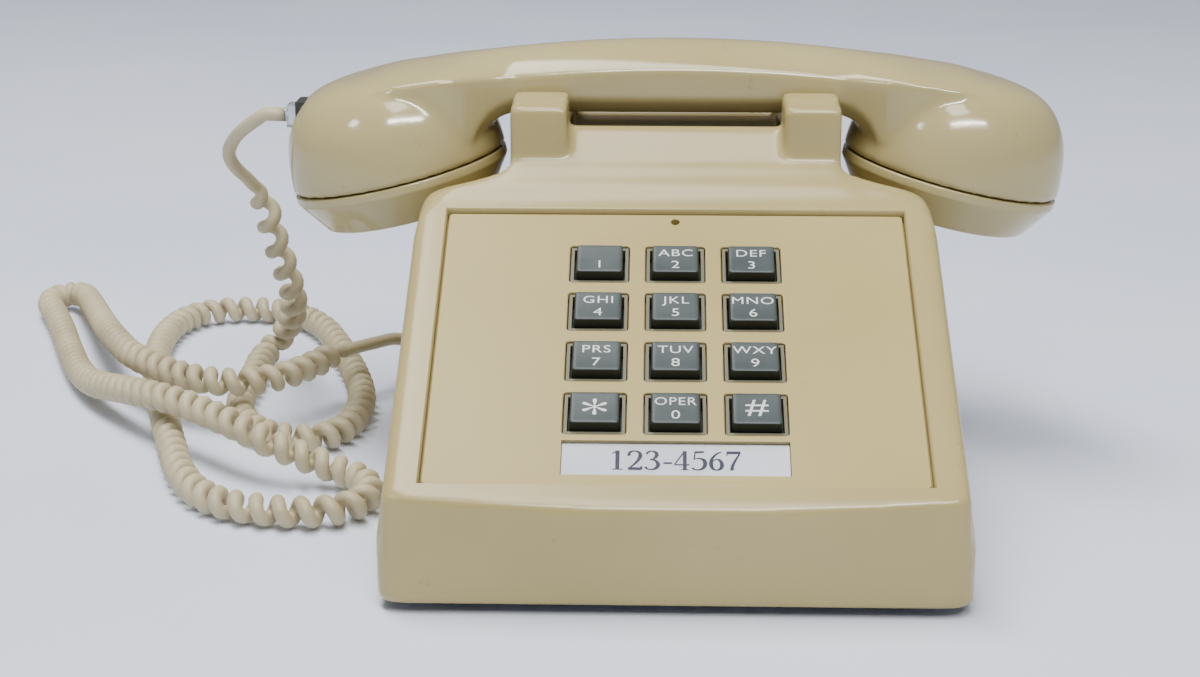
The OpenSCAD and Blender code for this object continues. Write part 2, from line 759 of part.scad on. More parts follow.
module volume_wheel() {
  teeth = 30;
  color(charcoal) translate([wheel_x, wheel_y, wheel_z]) rotate([0, 90, 0]) difference() {
    cylinder(r = wheel_radius, h = wheel_thick, center = true, $fn = 60);
    for (i = [0:teeth - 1])
      rotate([0, 0, i * 360 / teeth]) translate([wheel_radius, 0, 0]) rotate([0, 0, 45])
        cube([0.9, 0.9, wheel_thick + 1], center = true);
    cylinder(r = spindle_radius + shaft_gap, h = 20, center = true);
  }
}
module volume_bracket() {
  half = wheel_thick / 2 + 0.5;
  color(steel) translate([wheel_x, wheel_y, 0]) {
    for (x = [-half - 1.4, half])
      translate([x, -5, base_top]) cube([1.4, 10, wheel_z + 5 - base_top]);
    for (x = [-half - 7, half])
      translate([x, -5, base_top]) cube([7, 10, 1.4]);
    translate([0, 0, wheel_z]) rotate([0, 90, 0])
      cylinder(r = spindle_radius, h = 2 * half + 3, center = true);
  }
}

// ---- Jacks and plugs ----
jack_size = 14;
jack_deep = 15;
plug_wide = 7.7;
plug_high = 6.2;
plug_long = 12;
module jack_block(hole_wide, hole_high) {
  // Opens towards -X; the mouth is at the origin.
  difference() {
    translate([0, -jack_size / 2, -jack_size / 2]) cube([jack_deep, jack_size, jack_size]);
    translate([-1, -hole_wide / 2, -hole_high / 2]) cube([plug_long + 1.4, hole_wide, hole_high]);
  }
}
module handset_jack() {
  color(charcoal) translate([-body_width / 2 + 0.5, handset_jack_y, jack_z])
    jack_block(plug_wide + 2 * fit_gap, plug_high + 2 * fit_gap);
}
line_jack_y = y_back - 1.6;
module line_jack() {
  color(charcoal) translate([line_jack_x, line_jack_y, jack_z]) rotate([0, 0, -90])
    jack_block(11, 8);
}
module plug(tail) {
  // Lies along X with its tail at the origin and its nose at +X.
  slab([plug_long, plug_wide, plug_high], [tail + plug_long / 2, 0, -plug_high / 2]);
  rotate([0, 90, 0]) cylinder(r = cable_dia / 2 + 0.5, h = tail + 1);
}
plug_tail = 2;
base_plug_x = -body_width / 2 - plug_tail;
module base_plug() {
  color(clear, 0.6) translate([base_plug_x, handset_jack_y, jack_z]) plug(plug_tail);
}

// ---- Handset ----
end_z = handle_under - end_drop;
// The end's own frame: its parting circle lies at the origin and +Z goes up its axis.
module at_end(side) {
  translate([side * end_reach, cradle_y, end_z]) rotate([0, side * end_tilt, 0]) children();
}
module end_bulb() {
  r = end_radius;
  h = end_height;
  rotate_extrude($fn = 72)
    polygon([[0, 0], [r - 0.4, 0], [r, 0.4], [r - 0.2, h * 0.16], [r - 0.8, h * 0.32],
             [r - 1.7, h * 0.47], [r - 3.1, h * 0.6], [r - 5.3, h * 0.73], [r - 8.5, h * 0.85],
             [r - 12.8, h * 0.935], [r - 17.8, h * 0.98], [r - 24, h], [0, h]]);
}
// Heights along the handle, at a distance x from its middle
function arch(x) = arch_radius - sqrt(arch_radius * arch_radius - x * x);
function handle_top(x) = handle_under + handle_height - arch(x);
function handle_crease(x) =
  handle_under + handle_bevel + handle_side - 0.85 * arch(x) + 0.28 * handle_spread(x);
// How far the sides stand out beyond the handle's own width, at a distance x from its middle
flare_stops = [[46.5, 0], [49, 0.13], [52, 0.44], [55, 0.76], [58, 0.96], [60, 1], [78, 1], [90, 0.47]];
function handle_spread(x) = handle_flare * lookup(abs(x), flare_stops);
bend_x = 42.8;
bend_radius = 13.5;
function handle_low(x) =
  let (d = min(max(abs(x) - bend_x, 0), bend_radius - 0.3))
  handle_under - bend_radius + sqrt(bend_radius * bend_radius - d * d);
crown_steps = 4;
function handle_ring(x) =
  let (low = handle_low(x), top = handle_top(x), crease_z = handle_crease(x),
       half = handle_width / 2 + handle_spread(x),
       rise = top - crease_z, r = (half * half + rise * rise) / (2 * rise))
  concat(
    [[x, -half + handle_bevel + 0.3, low], [x, -half, low + handle_bevel]],
    [for (i = [-crown_steps:crown_steps])
      let (y = half * i / crown_steps)
      [x, y, top - r + sqrt(r * r - y * y)]],
    [[x, half, low + handle_bevel], [x, half - handle_bevel - 0.3, low]]);
handle_reach = [0, 16, 32, 42.5, 46, 49, 52, 55, 58, 60, 69, 78, 90];
handle_stations = concat(
  [for (i = [len(handle_reach) - 1:-1:1]) -handle_reach[i]], handle_reach);
// A skin over rings of equal length, closed at both ends, with triangles only.
function skin_faces(rings, sides) = concat(
  [for (i = [1:sides - 2]) [0, i + 1, i]],
  [for (j = [0:rings - 2], i = [0:sides - 1], half = [0, 1])
    let (a = j * sides + i, b = j * sides + (i + 1) % sides)
    half == 0 ? [a, b, a + sides] : [b, b + sides, a + sides]],
  [for (i = [1:sides - 2])
    let (last = (rings - 1) * sides)
    [last, last + i, last + i + 1]]);
module handle() {
  sides = 2 * crown_steps + 5;
  points = [for (x = handle_stations) each handle_ring(x)];
  translate([0, cradle_y, 0])
    polyhedron(points, skin_faces(len(handle_stations), sides));
}

capsule_depth = 14;
socket_z = end_z + 15;
socket_x = -end_reach - end_radius;
socket_wide = plug_wide + 2.6;
socket_high = plug_high + 2.4;
socket_deep = plug_long + 0.8;
module handset_shell() {
  color(beige) difference() {
    union() {
      handle();
      at_end(-1) end_bulb();
      at_end(1) end_bulb();
    }
    for (side = [-1, 1])
      at_end(side) translate([0, 0, -1]) cylinder(r = capsule_bore, h = capsule_depth + 1, $fn = 72);
    translate([socket_x - 5, cradle_y - socket_wide / 2 - fit_gap, socket_z - socket_high / 2 - fit_gap])
      cube([socket_deep + 5.2, socket_wide + 2 * fit_gap, socket_high + 2 * fit_gap]);
  }
}
module handset_socket() {
  color(charcoal) difference() {
    translate([socket_x + 2.2, cradle_y - socket_wide / 2, socket_z - socket_high / 2])
      cube([socket_deep - 2.2, socket_wide, socket_high]);
    translate([socket_x - 5, cradle_y - plug_wide / 2 - fit_gap, socket_z - plug_high / 2 - fit_gap])
      cube([plug_long + 4.4, plug_wide + 2 * fit_gap, plug_high + 2 * fit_gap]);
  }
}
handset_plug_x = socket_x - 1.6;
module handset_plug() {
  color(clear, 0.6) translate([handset_plug_x, cradle_y, socket_z]) plug(1);
}

// A screw-on cap: a rim, a sloping side and a flat face, with a skirt that goes up the bore.
cap_gap = 0.35;
skirt_height = 6;
skirt_radius = capsule_bore - fit_gap;
module cap_body(holes) {
  face = -cap_gap - cap_depth;
  rim = -cap_gap - 2.6;
  r = end_radius - 0.1;
  difference() {
    rotate_extrude($fn = 72)
      polygon([[0, face], [cap_face_radius - 1, face], [cap_face_radius + 0.2, face + 0.5],
               [r - 0.6, rim - 0.4], [r, rim + 0.4], [r, -cap_gap - 0.5], [r - 0.5, -cap_gap],
               [skirt_radius, -cap_gap], [skirt_radius, skirt_height],
               [skirt_radius - 1.6, skirt_height], [skirt_radius - 1.6, -cap_gap - 2],
               [cap_face_radius - 1.2, face + 2.4], [0, face + 2.4]]);
    for (p = holes)
      translate([p.x, p.y, face - 1]) cylinder(r = 1.1, h = 5, $fn = 16);
  }
}
receiver_holes = concat([[0, 0]], [for (i = [0:5]) 7 * [cos(60 * i), sin(60 * i)]]);
transmitter_holes = concat(
  [for (i = [0:5]) 5 * [cos(60 * i + 30), sin(60 * i + 30)]],
  [for (i = [0:11]) 10.5 * [cos(30 * i), sin(30 * i)]]);
module receiver_cap() {
  color(beige) at_end(1) cap_body(receiver_holes);
}
module transmitter_cap() {
  color(beige) at_end(-1) cap_body(transmitter_holes);
}
capsule_low = -cap_gap - cap_depth + 2.7;
module capsule_body(body_radius, top) {
  rotate_extrude($fn = 72)
    polygon([[0, capsule_low], [cap_face_radius - 2.2, capsule_low],
             [body_radius, -0.6], [body_radius, top - 2], [body_radius - 4, top], [0, top]]);
}
module receiver_capsule() {
  color(steel) at_end(1) capsule_body(skirt_radius - 2, 9);
}
module transmitter_capsule() {
  color(capsule_grey) at_end(-1) capsule_body(skirt_radius - 2, 7);
}

// ---- Handset cord ----
// The middle of the cord from the handset's plug to the base's plug: chosen points.
route = [
  [-121.5, 37.3, 93], [-125.4, 40, 90], [-129, 44, 86], [-131, 48, 81.4], [-130, 53, 76.4],
  [-127, 57, 72], [-124.5, 62, 66], [-123.5, 67, 59], [-122.5, 72, 50], [-121, 78, 40.5],
  [-120, 85, 31], [-121, 93, 22.5], [-124, 101, 15.5], [-128, 106.5, 9.2], [-131.5, 104.5, 5.4],
  [-132.5, 95, 4.9], [-132, 80, 4.9], [-131.7, 62, 4.9], [-130.5, 46, 4.9], [-126.5, 31, 4.9],
  [-119.5, 20, 4.9], [-110, 14.3, 4.9], [-101, 16, 4.9], [-95.5, 26, 4.9], [-93.8, 42, 4.9],
  [-95.5, 60, 4.9], [-100, 80, 4.9], [-105.5, 99, 4.9], [-111.5, 118, 4.9], [-118.5, 136, 4.9],
  [-128, 150, 4.9], [-140, 157.5, 4.9], [-153, 158, 4.9], [-163.5, 152, 4.9], [-168.8, 139, 4.9],
  [-169.8, 122, 4.9], [-167.8, 102, 4.9], [-163.3, 80, 4.9], [-157.5, 57, 4.9], [-150.5, 32, 4.9],
  [-143.5, 8, 4.9], [-136.5, -14.5, 4.9], [-129, -30.5, 4.9], [-119.5, -41, 4.9], [-108, -46, 4.9],
  [-97, -47.5, 4.9], [-88, -45, 4.9], [-82.5, -38, 4.9], [-82, -29, 4.9], [-86, -20.5, 5],
  [-93.5, -16, 6.3], [-103, -14.8, 9.6], [-112, -13.5, 13], [-122, -6.5, 15.4], [-135, 7.3, 15.6],
  [-146, 18, 15.3], [-157, 30.5, 13.3], [-168, 44.5, 10.4], [-178.5, 60, 7.2], [-188.2, 80.5, 5.2],
  [-197.4, 104.6, 4.9], [-207, 131.7, 4.9], [-215.3, 153, 4.9], [-219.4, 163, 4.9],
  [-219.6, 171, 5.2], [-214, 174.4, 5.8], [-208, 168, 6.8], [-200.5, 148.5, 8.6],
  [-188.2, 114, 11.8], [-177, 84.5, 14.6], [-166.3, 62.5, 15.6], [-153, 46.5, 15.6],
  [-140, 36.8, 15.6], [-128, 34.3, 15.6], [-117, 40.5, 15.6], [-109.5, 52.5, 15.6],
  [-104.5, 63, 15.8], [-98.5, 69.5, 16.4], [-92.5, 75, 16.6], [-88, 82.5, 15.8],
  [-83.5, 87, 14]];
lead_start = 45;  // straight cable at the handset's end
lead_end = 36;    // straight cable at the base's end
lead_stub = 3;    // how far each end runs straight out of its plug
rings_per_curl = 8;
cable_sides = 6;
fine = 8;         // points between two chosen points

function spline(a, b, c, d, t) =
  0.5 * (2 * b + (c - a) * t + (2 * a - 5 * b + 4 * c - d) * t * t
         + (3 * b - a - 3 * c + d) * t * t * t);
cord_start = [handset_plug_x, cradle_y, socket_z];
cord_end = [base_plug_x, handset_jack_y, jack_z];
stub = [lead_stub, 0, 0];
stops = concat(
  [cord_start, cord_start - stub, cord_start - 2 * stub], route,
  [cord_end - 2 * stub, cord_end - stub, cord_end]);
last_stop = len(stops) - 1;
centre = concat(
  [for (i = [0:last_stop - 1], k = [0:fine - 1])
    spline(stops[max(i - 1, 0)], stops[i], stops[i + 1], stops[min(i + 2, last_stop)], k / fine)],
  [stops[last_stop]]);
last_centre = len(centre) - 1;
run = [for (i = 0, s = 0; i <= last_centre;
       s = s + (i < last_centre ? norm(centre[i + 1] - centre[i]) : 0), i = i + 1) s];
cord_run = run[last_centre];
function unit(v) = v / norm(v);
heading = [for (i = [0:last_centre])
  unit(centre[min(i + 1, last_centre)] - centre[max(i - 1, 0)])];
// A direction carried along the cord without twist
carried = [for (i = 0, n = [0, 0, 1]; i <= last_centre;
  n = unit(n - (n * heading[min(i + 1, last_centre)]) * heading[min(i + 1, last_centre)]),
  i = i + 1) n];
function column(list, k) = [for (i = [0:last_centre]) [run[i], list[i][k]]];
centre_at = [for (k = [0:2]) column(centre, k)];
carried_at = [for (k = [0:2]) column(carried, k)];
heading_at = [for (k = [0:2]) column(heading, k)];
function at_run(table, s) = [lookup(s, table[0]), lookup(s, table[1]), lookup(s, table[2])];

curl_run = cord_run - lead_start - lead_end;
ring_count = curls * rings_per_curl;
lead_rings = 9;
ring_runs = concat(
  [for (i = [0:lead_rings - 1]) lead_start * i / lead_rings],
  [for (i = [0:ring_count]) lead_start + curl_run * i / ring_count],
  [for (i = [1:lead_rings]) cord_run - lead_end + lead_end * i / lead_rings]);
function curl_phase(s) = 360 * curls * min(max((s - lead_start) / curl_run, 0), 1);
function curl_swell(s) =
  let (grow = curl_run / curls * 1.3,
       k = min(max(min(s - lead_start, cord_run - lead_end - s) / grow, 0), 1))
  curl_radius * k * k * (3 - 2 * k);
function outward(s) =
  let (n = unit(at_run(carried_at, s)), b = cross(unit(at_run(heading_at, s)), n))
  n * cos(curl_phase(s)) + b * sin(curl_phase(s));
cable = [for (s = ring_runs) at_run(centre_at, s) + curl_swell(s) * outward(s)];
last_ring = len(cable) - 1;
cord_points = [for (j = [0:last_ring])
  let (t = j == 0 || j == last_ring ? [1, 0, 0] * (j == 0 ? -1 : 1)
         : unit(cable[j + 1] - cable[j - 1]),
       o = outward(ring_runs[j]),
       u = unit(o - (o * t) * t), w = cross(t, u))
  for (i = [0:cable_sides - 1])
    cable[j] + cable_dia / 2 * (u * cos(360 * i / cable_sides) + w * sin(360 * i / cable_sides))];
cable_run = [for (i = 0, s = 0; i < last_ring; s = s + norm(cable[i + 1] - cable[i]), i = i + 1) s];
function least_gap() =
  min([for (i = [0:last_ring], j = [i + 5:1:last_ring])
    if (abs(cable[i].x - cable[j].x) < 9 && abs(cable[i].y - cable[j].y) < 9)
      norm(cable[i] - cable[j])]) - cable_dia;
module handset_cord() {
  echo(cord_route = cord_run, cable_length = cable_run[last_ring - 1], least_gap = least_gap(),
       lowest = min([for (p = cord_points) p.z]));
  color(beige)
    polyhedron(cord_points, skin_faces(last_ring + 1, cable_sides));
}

housing();
faceplate();
number_card();
card_window();
base_plate();
rubber_feet();
base_screws();
keypad_frame();
keypad_board();
key(0, 0);  // key_1
key(1, 0);  // key_2
key(2, 0);  // key_3
key(0, 1);  // key_4
key(1, 1);  // key_5
key(2, 1);  // key_6
key(0, 2);  // key_7
key(1, 2);  // key_8
key(2, 2);  // key_9
key(0, 3);  // key_star
key(1, 3);  // key_0
key(2, 3);  // key_hash
plunger(-ear_x);  // plunger_left
plunger(ear_x);  // plunger_right
hook_bracket();
hook_lever();
hook_pin();
hook_springs();
hook_contacts();
network_box();
network_terminals();
ringer_frame();
ringer_coil();
ringer_core();
gong(-1);  // gong_left
gong(1);  // gong_right
gong_screws();
clapper();
clapper_pin();
volume_wheel();
volume_bracket();
handset_jack();
line_jack();
handset_shell();
handset_socket();
receiver_cap();
transmitter_cap();
receiver_capsule();
transmitter_capsule();
handset_plug();
base_plug();
handset_cord();
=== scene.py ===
import math

import bmesh
import bpy
import numpy as np
from mathutils import Matrix, Vector


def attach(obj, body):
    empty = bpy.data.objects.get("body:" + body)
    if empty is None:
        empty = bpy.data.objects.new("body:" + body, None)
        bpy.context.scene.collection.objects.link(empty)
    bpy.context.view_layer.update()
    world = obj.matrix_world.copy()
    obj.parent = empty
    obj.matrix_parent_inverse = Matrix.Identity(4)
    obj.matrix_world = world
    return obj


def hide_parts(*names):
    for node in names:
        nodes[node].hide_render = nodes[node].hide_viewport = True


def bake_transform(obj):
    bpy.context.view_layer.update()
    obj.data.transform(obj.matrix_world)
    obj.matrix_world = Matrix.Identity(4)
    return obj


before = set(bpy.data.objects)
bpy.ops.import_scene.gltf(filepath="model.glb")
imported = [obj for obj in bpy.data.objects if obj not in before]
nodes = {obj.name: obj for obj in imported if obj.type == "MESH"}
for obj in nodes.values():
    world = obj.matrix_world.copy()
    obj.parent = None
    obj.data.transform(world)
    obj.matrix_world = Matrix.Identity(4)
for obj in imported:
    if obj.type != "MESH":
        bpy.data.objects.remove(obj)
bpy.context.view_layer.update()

mm = 0.001
# Sizes and places are in mm and angles in degrees, except where a note says otherwise
handsetMiddle = 36.03  # where the middle of the handset and of its cradle lies, front to back
plugHeight = 95.5  # of the cord's plug in the handset's left end
faceSlope = math.radians(28.5)  # of the sloping face, in radians
slopeSin, slopeCos = math.sin(faceSlope), math.cos(faceSlope)


def hexColour(code):
    # sRGB hex to linear light
    parts = [int(code[i:i + 2], 16) / 255 for i in (1, 3, 5)]
    lit = [c / 12.92 if c <= 0.04045 else ((c + 0.055) / 1.055) ** 2.4 for c in parts]
    return (*lit, 1.0)


def addNode(tree, kind, values=None, links=None, stops=(), **settings):
    # A node with its settings, socket values and links; stops are a ramp's colours
    node = tree.nodes.new(kind)
    for name, value in settings.items():
        setattr(node, name, value)
    for socket, value in (values or {}).items():
        node.inputs[socket].default_value = value
    for socket, source in (links or {}).items():
        tree.links.new(source, node.inputs[socket])
    for band, (place, colour) in zip(node.color_ramp.elements if stops else (), stops):
        band.position = place
        band.color = colour
    return node


def emptyMaterial(name):
    # A material with nothing in it but the place on the object, in metres
    material = bpy.data.materials.new(name)
    material.use_nodes = True
    tree = material.node_tree
    tree.nodes.clear()
    return material, tree, addNode(tree, "ShaderNodeTexCoord").outputs["Object"]


def startMaterial(name, **look):
    # The same with a shader joined to the output
    material, tree, place = emptyMaterial(name)
    shader = addNode(tree, "ShaderNodeBsdfPrincipled",
                     {key.replace("_", " "): value for key, value in look.items()})
    addNode(tree, "ShaderNodeOutputMaterial", links={"Surface": shader.outputs["BSDF"]})
    return material, tree, shader, place


def perMetre(size):
    # The texture scale that gives a pattern of this size in mm
    return 1000 / size


def addRelief(tree, shader, place, size, strength):
    # Fine relief of this size in mm
    grain = addNode(tree, "ShaderNodeTexNoise", {"Scale": perMetre(size), "Detail": 2},
                    {"Vector": place})
    bump = addNode(tree, "ShaderNodeBump", {"Strength": strength, "Distance": 0.2 * mm},
                   {"Height": grain.outputs["Fac"]})
    tree.links.new(bump.outputs["Normal"], shader.inputs["Normal"])


def addGloss(tree, shader, source, low, high):
    # Roughness that follows a pattern
    rubbed = addNode(tree, "ShaderNodeMapRange", {"To Min": low, "To Max": high},
                     {"Value": source})
    tree.links.new(rubbed.outputs["Result"], shader.inputs["Roughness"])


def cloudedFinish(name, dark, light, size, gloss, grain, strength, detail=3, **look):
    # Two colours in soft clouds of this size in mm, a gloss that follows them and a fine relief
    material, tree, shader, place = startMaterial(name, **look)
    cloud = addNode(tree, "ShaderNodeTexNoise", {"Scale": perMetre(size), "Detail": detail},
                    {"Vector": place})
    shade = addNode(tree, "ShaderNodeValToRGB", links={"Fac": cloud.outputs["Fac"]},
                    stops=[(0.3, dark), (0.7, light)])
    tree.links.new(shade.outputs["Color"], shader.inputs["Base Color"])
    addGloss(tree, shader, cloud.outputs["Fac"], *gloss)
    addRelief(tree, shader, place, grain, strength)
    return material


def openFinish(material):
    # A finish taken up again: its shader, the colour it has so far and the place on the object
    tree = material.node_tree
    shader = tree.nodes["Principled BSDF"]
    return (tree, shader, shader.inputs["Base Color"].links[0].from_socket,
            tree.nodes["Texture Coordinate"].outputs["Object"])


def newObject(name, data):
    thing = bpy.data.objects.new(name, data)
    bpy.context.scene.collection.objects.link(thing)
    return thing


def workedOut(thing):
    # The mesh of an object once its curve or its modifiers are worked out
    graph = bpy.context.evaluated_depsgraph_get()
    return bpy.data.meshes.new_from_object(thing.evaluated_get(graph))


def newMesh(name, shape):
    # A shape is its points in mm, and its faces
    points, faces = shape
    mesh = bpy.data.meshes.new(name)
    mesh.from_pydata((np.array(points, float) * mm).tolist(), [], faces)
    return mesh


def newPiece(name, shape, material):
    mesh = newMesh(name, shape)
    mesh.materials.append(material)
    return newObject(name, mesh)


def loft(loops):
    # Closed rings of equal length joined into one solid
    count = len(loops[0])
    points = [p for ring in loops for p in ring]
    faces = [tuple(range(count))[::-1]]
    for j in range(len(loops) - 1):
        for i in range(count):
            a, b = j * count + i, j * count + (i + 1) % count
            faces.append((a, b, b + count, a + count))
    faces.append(tuple((len(loops) - 1) * count + i for i in range(count)))
    return points, faces


def seatPiece(piece, sharp, body, node):
    # Smooth up to this angle in degrees, carried by its body in place of its CAD node
    piece.data.shade_smooth()
    piece.data.set_sharp_from_angle(angle=math.radians(sharp))
    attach(piece, body)
    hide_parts(node)


def dress(material, *names):
    # Gives CAD nodes that stay as they are their material
    for name in names:
        mesh = nodes[name].data
        mesh.materials.clear()
        mesh.materials.append(material)


view = {
    "place": (-5.3, -594.5, 205.5),
    "sensor": 36,
    "lens": 66.75,
    "yaw": -1.454,  # to the right of straight ahead
    "pitch": 15.6,  # downwards
    "roll": 0.062,
}


def makeCamera():
    yaw, pitch, roll = (math.radians(view[key]) for key in ("yaw", "pitch", "roll"))
    forward = Vector((math.sin(yaw) * math.cos(pitch), math.cos(yaw) * math.cos(pitch),
                      -math.sin(pitch)))
    right = Vector((math.cos(yaw), -math.sin(yaw), 0))
    up = right.cross(forward)
    across = right * math.cos(roll) + up * math.sin(roll)
    above = up * math.cos(roll) - right * math.sin(roll)
    data = bpy.data.cameras.new("camera")
    data.sensor_width = view["sensor"]
    data.lens = view["lens"]
    data.clip_start = 0.01
    data.clip_end = 20
    camera = newObject("camera", data)
    turn = Matrix((across, above, -forward)).transposed().to_4x4()
    camera.matrix_world = Matrix.Translation(Vector(view["place"]) * mm) @ turn
    bpy.context.scene.camera = camera


makeCamera()
print("camera ready")


cordLook = {
    "cable": 4.0,  # over the jacket
    "curl": 2.45,  # radius of the curls to the middle of the cable
    "pitch": 6.4,  # from curl to curl on the table
    "tightPitch": 4.9,  # where the cord lies slack at the far left
    "slackFrom": -150, "slackFade": 25,  # the place across where that starts, and its fade
    "loosePitch": 10.5,  # where the cord's weight pulls the curls apart
    "hangEnds": 170, "hangFade": 110,  # the length along the cord where that ends, and its fade
    "wander": 0.55,  # how uneven the pitch is
    "leadStart": 45,  # straight cable at the handset's end
    "leadEnd": 36,  # straight cable at the base's end
    "leadFade": 11,  # the length over which the curls reach their radius
    "stub": 3,  # half of the straight piece inside each plug
    "pointsPerCurl": 14,
    "sides": 10,
}
# The middle of the cord from the handset's plug to the base's plug
cordStart = (-111.9, handsetMiddle, plugHeight)
cordEnd = (-73.5, 88, 13)
cordRoute = [
    (-121.5, 37.3, 93), (-125.4, 40, 90), (-129, 44, 86), (-131, 48, 81.4), (-130, 53, 76.4),
    (-127, 57, 72), (-124.5, 62, 66), (-123.5, 67, 59), (-122.5, 72, 50), (-121, 78, 40.5),
    (-120, 85, 31), (-121, 93, 22.5), (-124, 101, 15.5), (-128, 106.5, 9.2),
    (-131.5, 104.5, 5.4), (-132.5, 95, 4.9), (-132, 80, 4.9), (-131.7, 62, 4.9),
    (-130.5, 46, 4.9), (-126.5, 31, 4.9), (-119.5, 20, 4.9), (-110, 14.3, 4.9),
    (-101, 16, 4.9), (-95.5, 26, 4.9), (-93.8, 42, 4.9), (-95.5, 60, 4.9), (-100, 80, 4.9),
    (-105.5, 99, 4.9), (-111.5, 118, 4.9), (-118.5, 136, 4.9), (-128, 150, 4.9),
    (-140, 157.5, 4.9), (-153, 158, 4.9), (-163.5, 152, 4.9), (-168.8, 139, 4.9),
    (-169.8, 122, 4.9), (-167.8, 102, 4.9), (-163.3, 80, 4.9), (-157.5, 57, 4.9),
    (-150.5, 32, 4.9), (-143.5, 8, 4.9), (-136.5, -14.5, 4.9), (-129, -30.5, 4.9),
    (-119.5, -41, 4.9), (-108, -46, 4.9), (-97, -47.5, 4.9), (-88, -45, 4.9),
    (-82.5, -38, 4.9), (-82, -29, 4.9), (-86, -20.5, 5), (-93.5, -16, 6.3),
    (-103, -14.8, 9.6), (-112, -13.5, 13), (-122, -6.5, 15.4), (-135, 7.3, 15.6),
    (-146, 18, 15.3), (-157, 30.5, 13.3), (-168, 44.5, 10.4), (-178.5, 60, 7.2),
    (-188.2, 80.5, 5.2), (-197.4, 104.6, 4.9), (-207, 131.7, 4.9), (-215.3, 153, 4.9),
    (-219.4, 163, 4.9), (-219.6, 171, 5.2), (-214, 174.4, 5.8), (-208, 168, 6.8),
    (-200.5, 148.5, 8.6), (-188.2, 114, 11.8), (-177, 84.5, 14.6), (-166.3, 62.5, 15.6),
    (-153, 46.5, 15.6), (-140, 36.8, 15.6), (-128, 34.3, 15.6), (-117, 40.5, 15.6),
    (-109.5, 52.5, 15.6), (-104.5, 63, 15.8), (-98.5, 69.5, 16.4), (-92.5, 75, 16.6),
    (-88, 82.5, 15.8), (-83.5, 87, 14)]


def smoothStep(k):
    k = np.clip(k, 0, 1)
    return k * k * (3 - 2 * k)


def splinePoints(stops, fine):
    # A smooth curve through the stops, with fine points between each two
    stops = np.array(stops, float)
    last = len(stops) - 1
    found = []
    for i in range(last):
        a, b, c, d = (stops[max(i - 1, 0)], stops[i], stops[i + 1], stops[min(i + 2, last)])
        for k in range(fine):
            t = k / fine
            found.append(0.5 * (2 * b + (c - a) * t + (2 * a - 5 * b + 4 * c - d) * t * t
                                + (3 * b - a - 3 * c + d) * t ** 3))
    return np.array(found + [stops[last]])


def unitRows(rows):
    return rows / np.linalg.norm(rows, axis=1)[:, None]


def rowHeadings(points):
    ahead = np.vstack([points[1:], points[-1:]])
    behind = np.vstack([points[:1], points[:-1]])
    return unitRows(ahead - behind)


def carriedNormals(headings):
    # A direction carried along a line without twist
    carried = [np.array([0.0, 0.0, 1.0])]
    carried[0] -= headings[0] * carried[0].dot(headings[0])
    for heading in headings[1:]:
        turned = carried[-1] - heading * carried[-1].dot(heading)
        carried.append(turned / np.linalg.norm(turned))
    return unitRows(np.array(carried))


def lengthsAlong(points):
    steps = np.linalg.norm(np.diff(points, axis=0), axis=1)
    return np.concatenate([[0], np.cumsum(steps)])


def curlPitch(run, place):
    # Curls hang apart at first, lie close where the cord is slack, and are never quite even
    s = cordLook
    hanging = smoothStep((s["hangEnds"] - run) / s["hangFade"])
    slack = smoothStep((s["slackFrom"] - place) / s["slackFade"])
    pitch = s["pitch"] + (s["tightPitch"] - s["pitch"]) * slack
    pitch = pitch + s["wander"] * np.sin(run * 0.061) * np.sin(run * 0.0173 + 1.2)
    return pitch + (s["loosePitch"] - pitch) * hanging


def makeCordLine():
    # The middle of the cable: the route with curls wound round it between two straight leads
    s = cordLook
    stub = np.array([s["stub"], 0, 0])
    start, end = np.array(cordStart, float), np.array(cordEnd, float)
    stops = [start, start - stub, start - 2 * stub, *cordRoute,
             end - 2 * stub, end - stub, end]
    centre = splinePoints(stops, 12)
    run = lengthsAlong(centre)
    total = run[-1]
    headings = rowHeadings(centre)
    carried = carriedNormals(headings)

    def at(rows, places):
        return np.stack([np.interp(places, run, rows[:, k]) for k in range(3)], axis=-1)

    first, last = s["leadStart"], total - s["leadEnd"]
    fineRun = np.linspace(first, last, 6000)
    pitch = curlPitch(fineRun, np.interp(fineRun, run, centre[:, 0]))
    turns = np.concatenate([[0], np.cumsum(np.diff(fineRun) / ((pitch[1:] + pitch[:-1]) / 2))])
    curls = turns[-1]
    count = int(curls * s["pointsPerCurl"])
    curlRun = np.interp(np.linspace(0, curls, count), turns, fineRun)
    places = np.concatenate([np.linspace(0, first, 16)[:-1], curlRun,
                             np.linspace(last, total, 14)[1:]])
    phase = 2 * math.pi * np.interp(places, fineRun, turns)
    grow = np.minimum(places - first, last - places) / s["leadFade"]
    swell = s["curl"] * smoothStep(grow)
    normal = unitRows(at(carried, places))
    side = np.cross(unitRows(at(headings, places)), normal)
    out = normal * np.cos(phase)[:, None] + side * np.sin(phase)[:, None]
    line = at(centre, places) + out * swell[:, None]
    print("cord:", round(curls), "curls,", round(lengthsAlong(line)[-1]), "mm of cable, lowest",
          round(float(line[:, 2].min() - s["cable"] / 2), 2))
    return line


def tubeShape(line, radius, sides):
    # A round tube along a line, closed at both ends
    headings = rowHeadings(line)
    normals = carriedNormals(headings)
    others = np.cross(headings, normals)
    angles = np.arange(sides) * 2 * math.pi / sides
    around = (normals[:, None, :] * np.cos(angles)[None, :, None]
              + others[:, None, :] * np.sin(angles)[None, :, None])
    return loft(line[:, None, :] + radius * around)


def vinylJacket():
    # PVC, extruded over the wires: a dull sheen and a fine grain, with grime in patches. The
    # real grain is too fine to show, so it is drawn coarser
    return cloudedFinish("vinylCordExtruded", hexColour("#b0a484"), hexColour("#c8bc9a"), 36,
                         (0.45, 0.56), 0.7, 0.12, IOR=1.53, Specular_IOR_Level=0.45)


